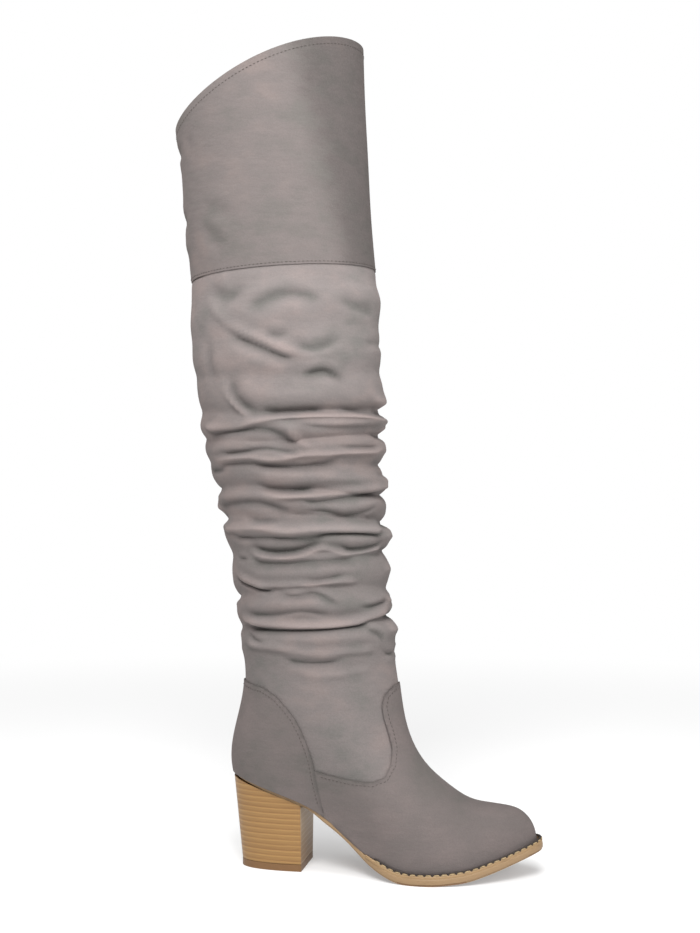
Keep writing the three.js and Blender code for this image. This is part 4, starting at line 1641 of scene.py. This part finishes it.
@dataclass(frozen=True)
class Studio:
    """The pale floor, the soft light and the camera.

    Attributes:
        lamps: The lights.
        sky: How bright the room is all round.
        eye: Where the camera stands, in metres.
        turn: How far it is turned towards the toe, in degrees.
        height: The picture's height in pixels.
        focal: The focal length in pixels.
        horizon: How far the horizon lies below the picture's middle, in pixels.
        fade: How far out, in millimetres, the floor starts and ends turning into light.
        glow: The share of light that it has under the boot.
        radius: Its radius in metres.
    """

    lamps: tuple[Lamp, ...] = (
        Lamp("key", (0.12, -1.3, 1.45), (0.02, 0.0, 0.36), 0.8, 37.0),
        Lamp("fill", (1.4, -0.8, 0.9), (0.03, 0.0, 0.35), 0.9, 10.0),
        Lamp("top", (0.0, -0.2, 1.8), (0.02, 0.0, 0.3), 0.9, 14.0),
    )
    sky: float = 0.36
    eye: tuple[float, float, float] = (0.2357, -0.9995, 0.267)
    turn: float = 10.0
    height: float = 933.0
    focal: float = 1370.0
    horizon: float = 39.5
    fade: tuple[float, float] = (300.0, 1500.0)
    glow: float = 0.3
    radius: float = 30.0

    def _floor(self) -> None:
        """A wide plain floor that meets the room's light far away."""
        graph = Graph("floor_white")
        place = graph.place()
        away_from_boot = graph.node("ShaderNodeVectorMath", {"operation": "LENGTH"}, {0: place}, out="Value")
        far = away_from_boot.step(*self.fade)
        near = graph.node("ShaderNodeBsdfDiffuse", None, {"Color": (0.9, 0.9, 0.9, 1)})
        away = graph.node("ShaderNodeEmission", None, {"Color": (1, 1, 1, 1), "Strength": 1.0})
        shader = graph.node("ShaderNodeMixShader", None, {0: far * (1 - self.glow) + self.glow, 1: near, 2: away})
        output = graph.tree.nodes.new("ShaderNodeOutputMaterial")
        graph.tree.links.new(shader.socket, output.inputs["Surface"])
        form = bmesh.new()
        bmesh.ops.create_circle(form, cap_ends=True, segments=64, radius=self.radius)
        mesh = to_mesh(form, "floor")
        mesh.materials.append(graph.material)
        floor = bpy.data.objects.new("floor", mesh)
        bpy.context.collection.objects.link(floor)

    def _camera(self) -> None:
        """The camera at the photograph's angle."""
        data = bpy.data.cameras.new("camera")
        data.sensor_fit = "VERTICAL"
        data.angle_y = 2 * math.atan(self.height / 2 / self.focal)
        data.shift_y = self.horizon / self.height
        camera = bpy.data.objects.new("camera", data)
        camera.location = self.eye
        camera.rotation_euler = (math.radians(90), 0, math.radians(self.turn))
        bpy.context.collection.objects.link(camera)
        bpy.context.scene.camera = camera

    def build(self) -> None:
        """Sets the room up."""
        world = bpy.data.worlds.new("room")
        world.use_nodes = True
        nodes, links = world.node_tree.nodes, world.node_tree.links
        background = nodes["Background"]
        background.inputs["Color"].default_value = (1, 1, 1, 1)
        path = nodes.new("ShaderNodeLightPath")
        bright = nodes.new("ShaderNodeMapRange")
        bright.inputs["To Min"].default_value = self.sky
        links.new(path.outputs["Is Camera Ray"], bright.inputs["Value"])
        links.new(bright.outputs[0], background.inputs["Strength"])
        bpy.context.scene.world = world
        bpy.context.scene.view_settings.view_transform = "Standard"
        self._floor()
        self._camera()
        for lamp in self.lamps:
            lamp.light()


def main() -> None:
    """Builds the boot's looks and the studio, and reports each piece."""
    logging.basicConfig(level=logging.INFO, format="%(name)s: %(message)s")
    # The shaft's suede also takes painted shade towards the ankle.
    suede = Suede(
        "shaft_suede", srgb(125, 118, 116), srgb(135, 124, 121), srgb(114, 111, 108), 0.6, painted_shade_below=0.2
    )
    band = Suede(
        "cuff_suede", srgb(113, 106, 104), srgb(122, 112, 109), srgb(105, 101, 98), 0.4, flat_front=0.33, slant=0.23
    )
    panel = Suede(
        "panel_suede", srgb(104, 97, 95), srgb(111, 102, 100), srgb(96, 92, 89), 0.3, flat_front=0.14, front=(80, 200)
    )
    lining = Lining()
    inside = lining.material()
    thread = Thread("seam_thread", srgb(80, 72, 68)).material()
    light = Thread("welt_thread", srgb(170, 146, 108)).material()
    sole = Rubber("sole_rubber", srgb(140, 114, 82), srgb(92, 64, 38))
    tread = Rubber("tread_rubber", srgb(122, 92, 62), srgb(78, 58, 42), 0.6)
    # A dark finish that paints the shade between the welt's loops and the shadow in its groove.
    painted_shadow_finish = Thread("welt_painted_shadow", srgb(48, 38, 32)).material()
    # The welt's upward faces, in the gap under the vamp, are fully darkened with painted shade.
    rand = Rubber("welt_leather", srgb(146, 118, 82), srgb(40, 32, 27), painted_shade_on_top=1.0)
    lift = Rubber("lift_rubber", srgb(112, 80, 46), srgb(84, 58, 34), rough=0.5)
    stack = StackedWood("heel_stack", srgb(152, 116, 64), srgb(116, 80, 38), srgb(190, 162, 122))
    form = ShaftForm()
    shaft = Shaft(form, Folds(), ToeBreak(), suede.material(), band.material(), inside)
    upper, cuff = shaft.build()
    panels = Panels(form, upper, cuff, panel.material(), thread)
    panels.build()
    under = Underfoot(
        sole.material(), tread.material(), rand.material(), stack.material(), lift.material(), inside, light, painted_shadow_finish
    )
    under.build()
    Studio().build()


if __name__ == "__main__":
    main()
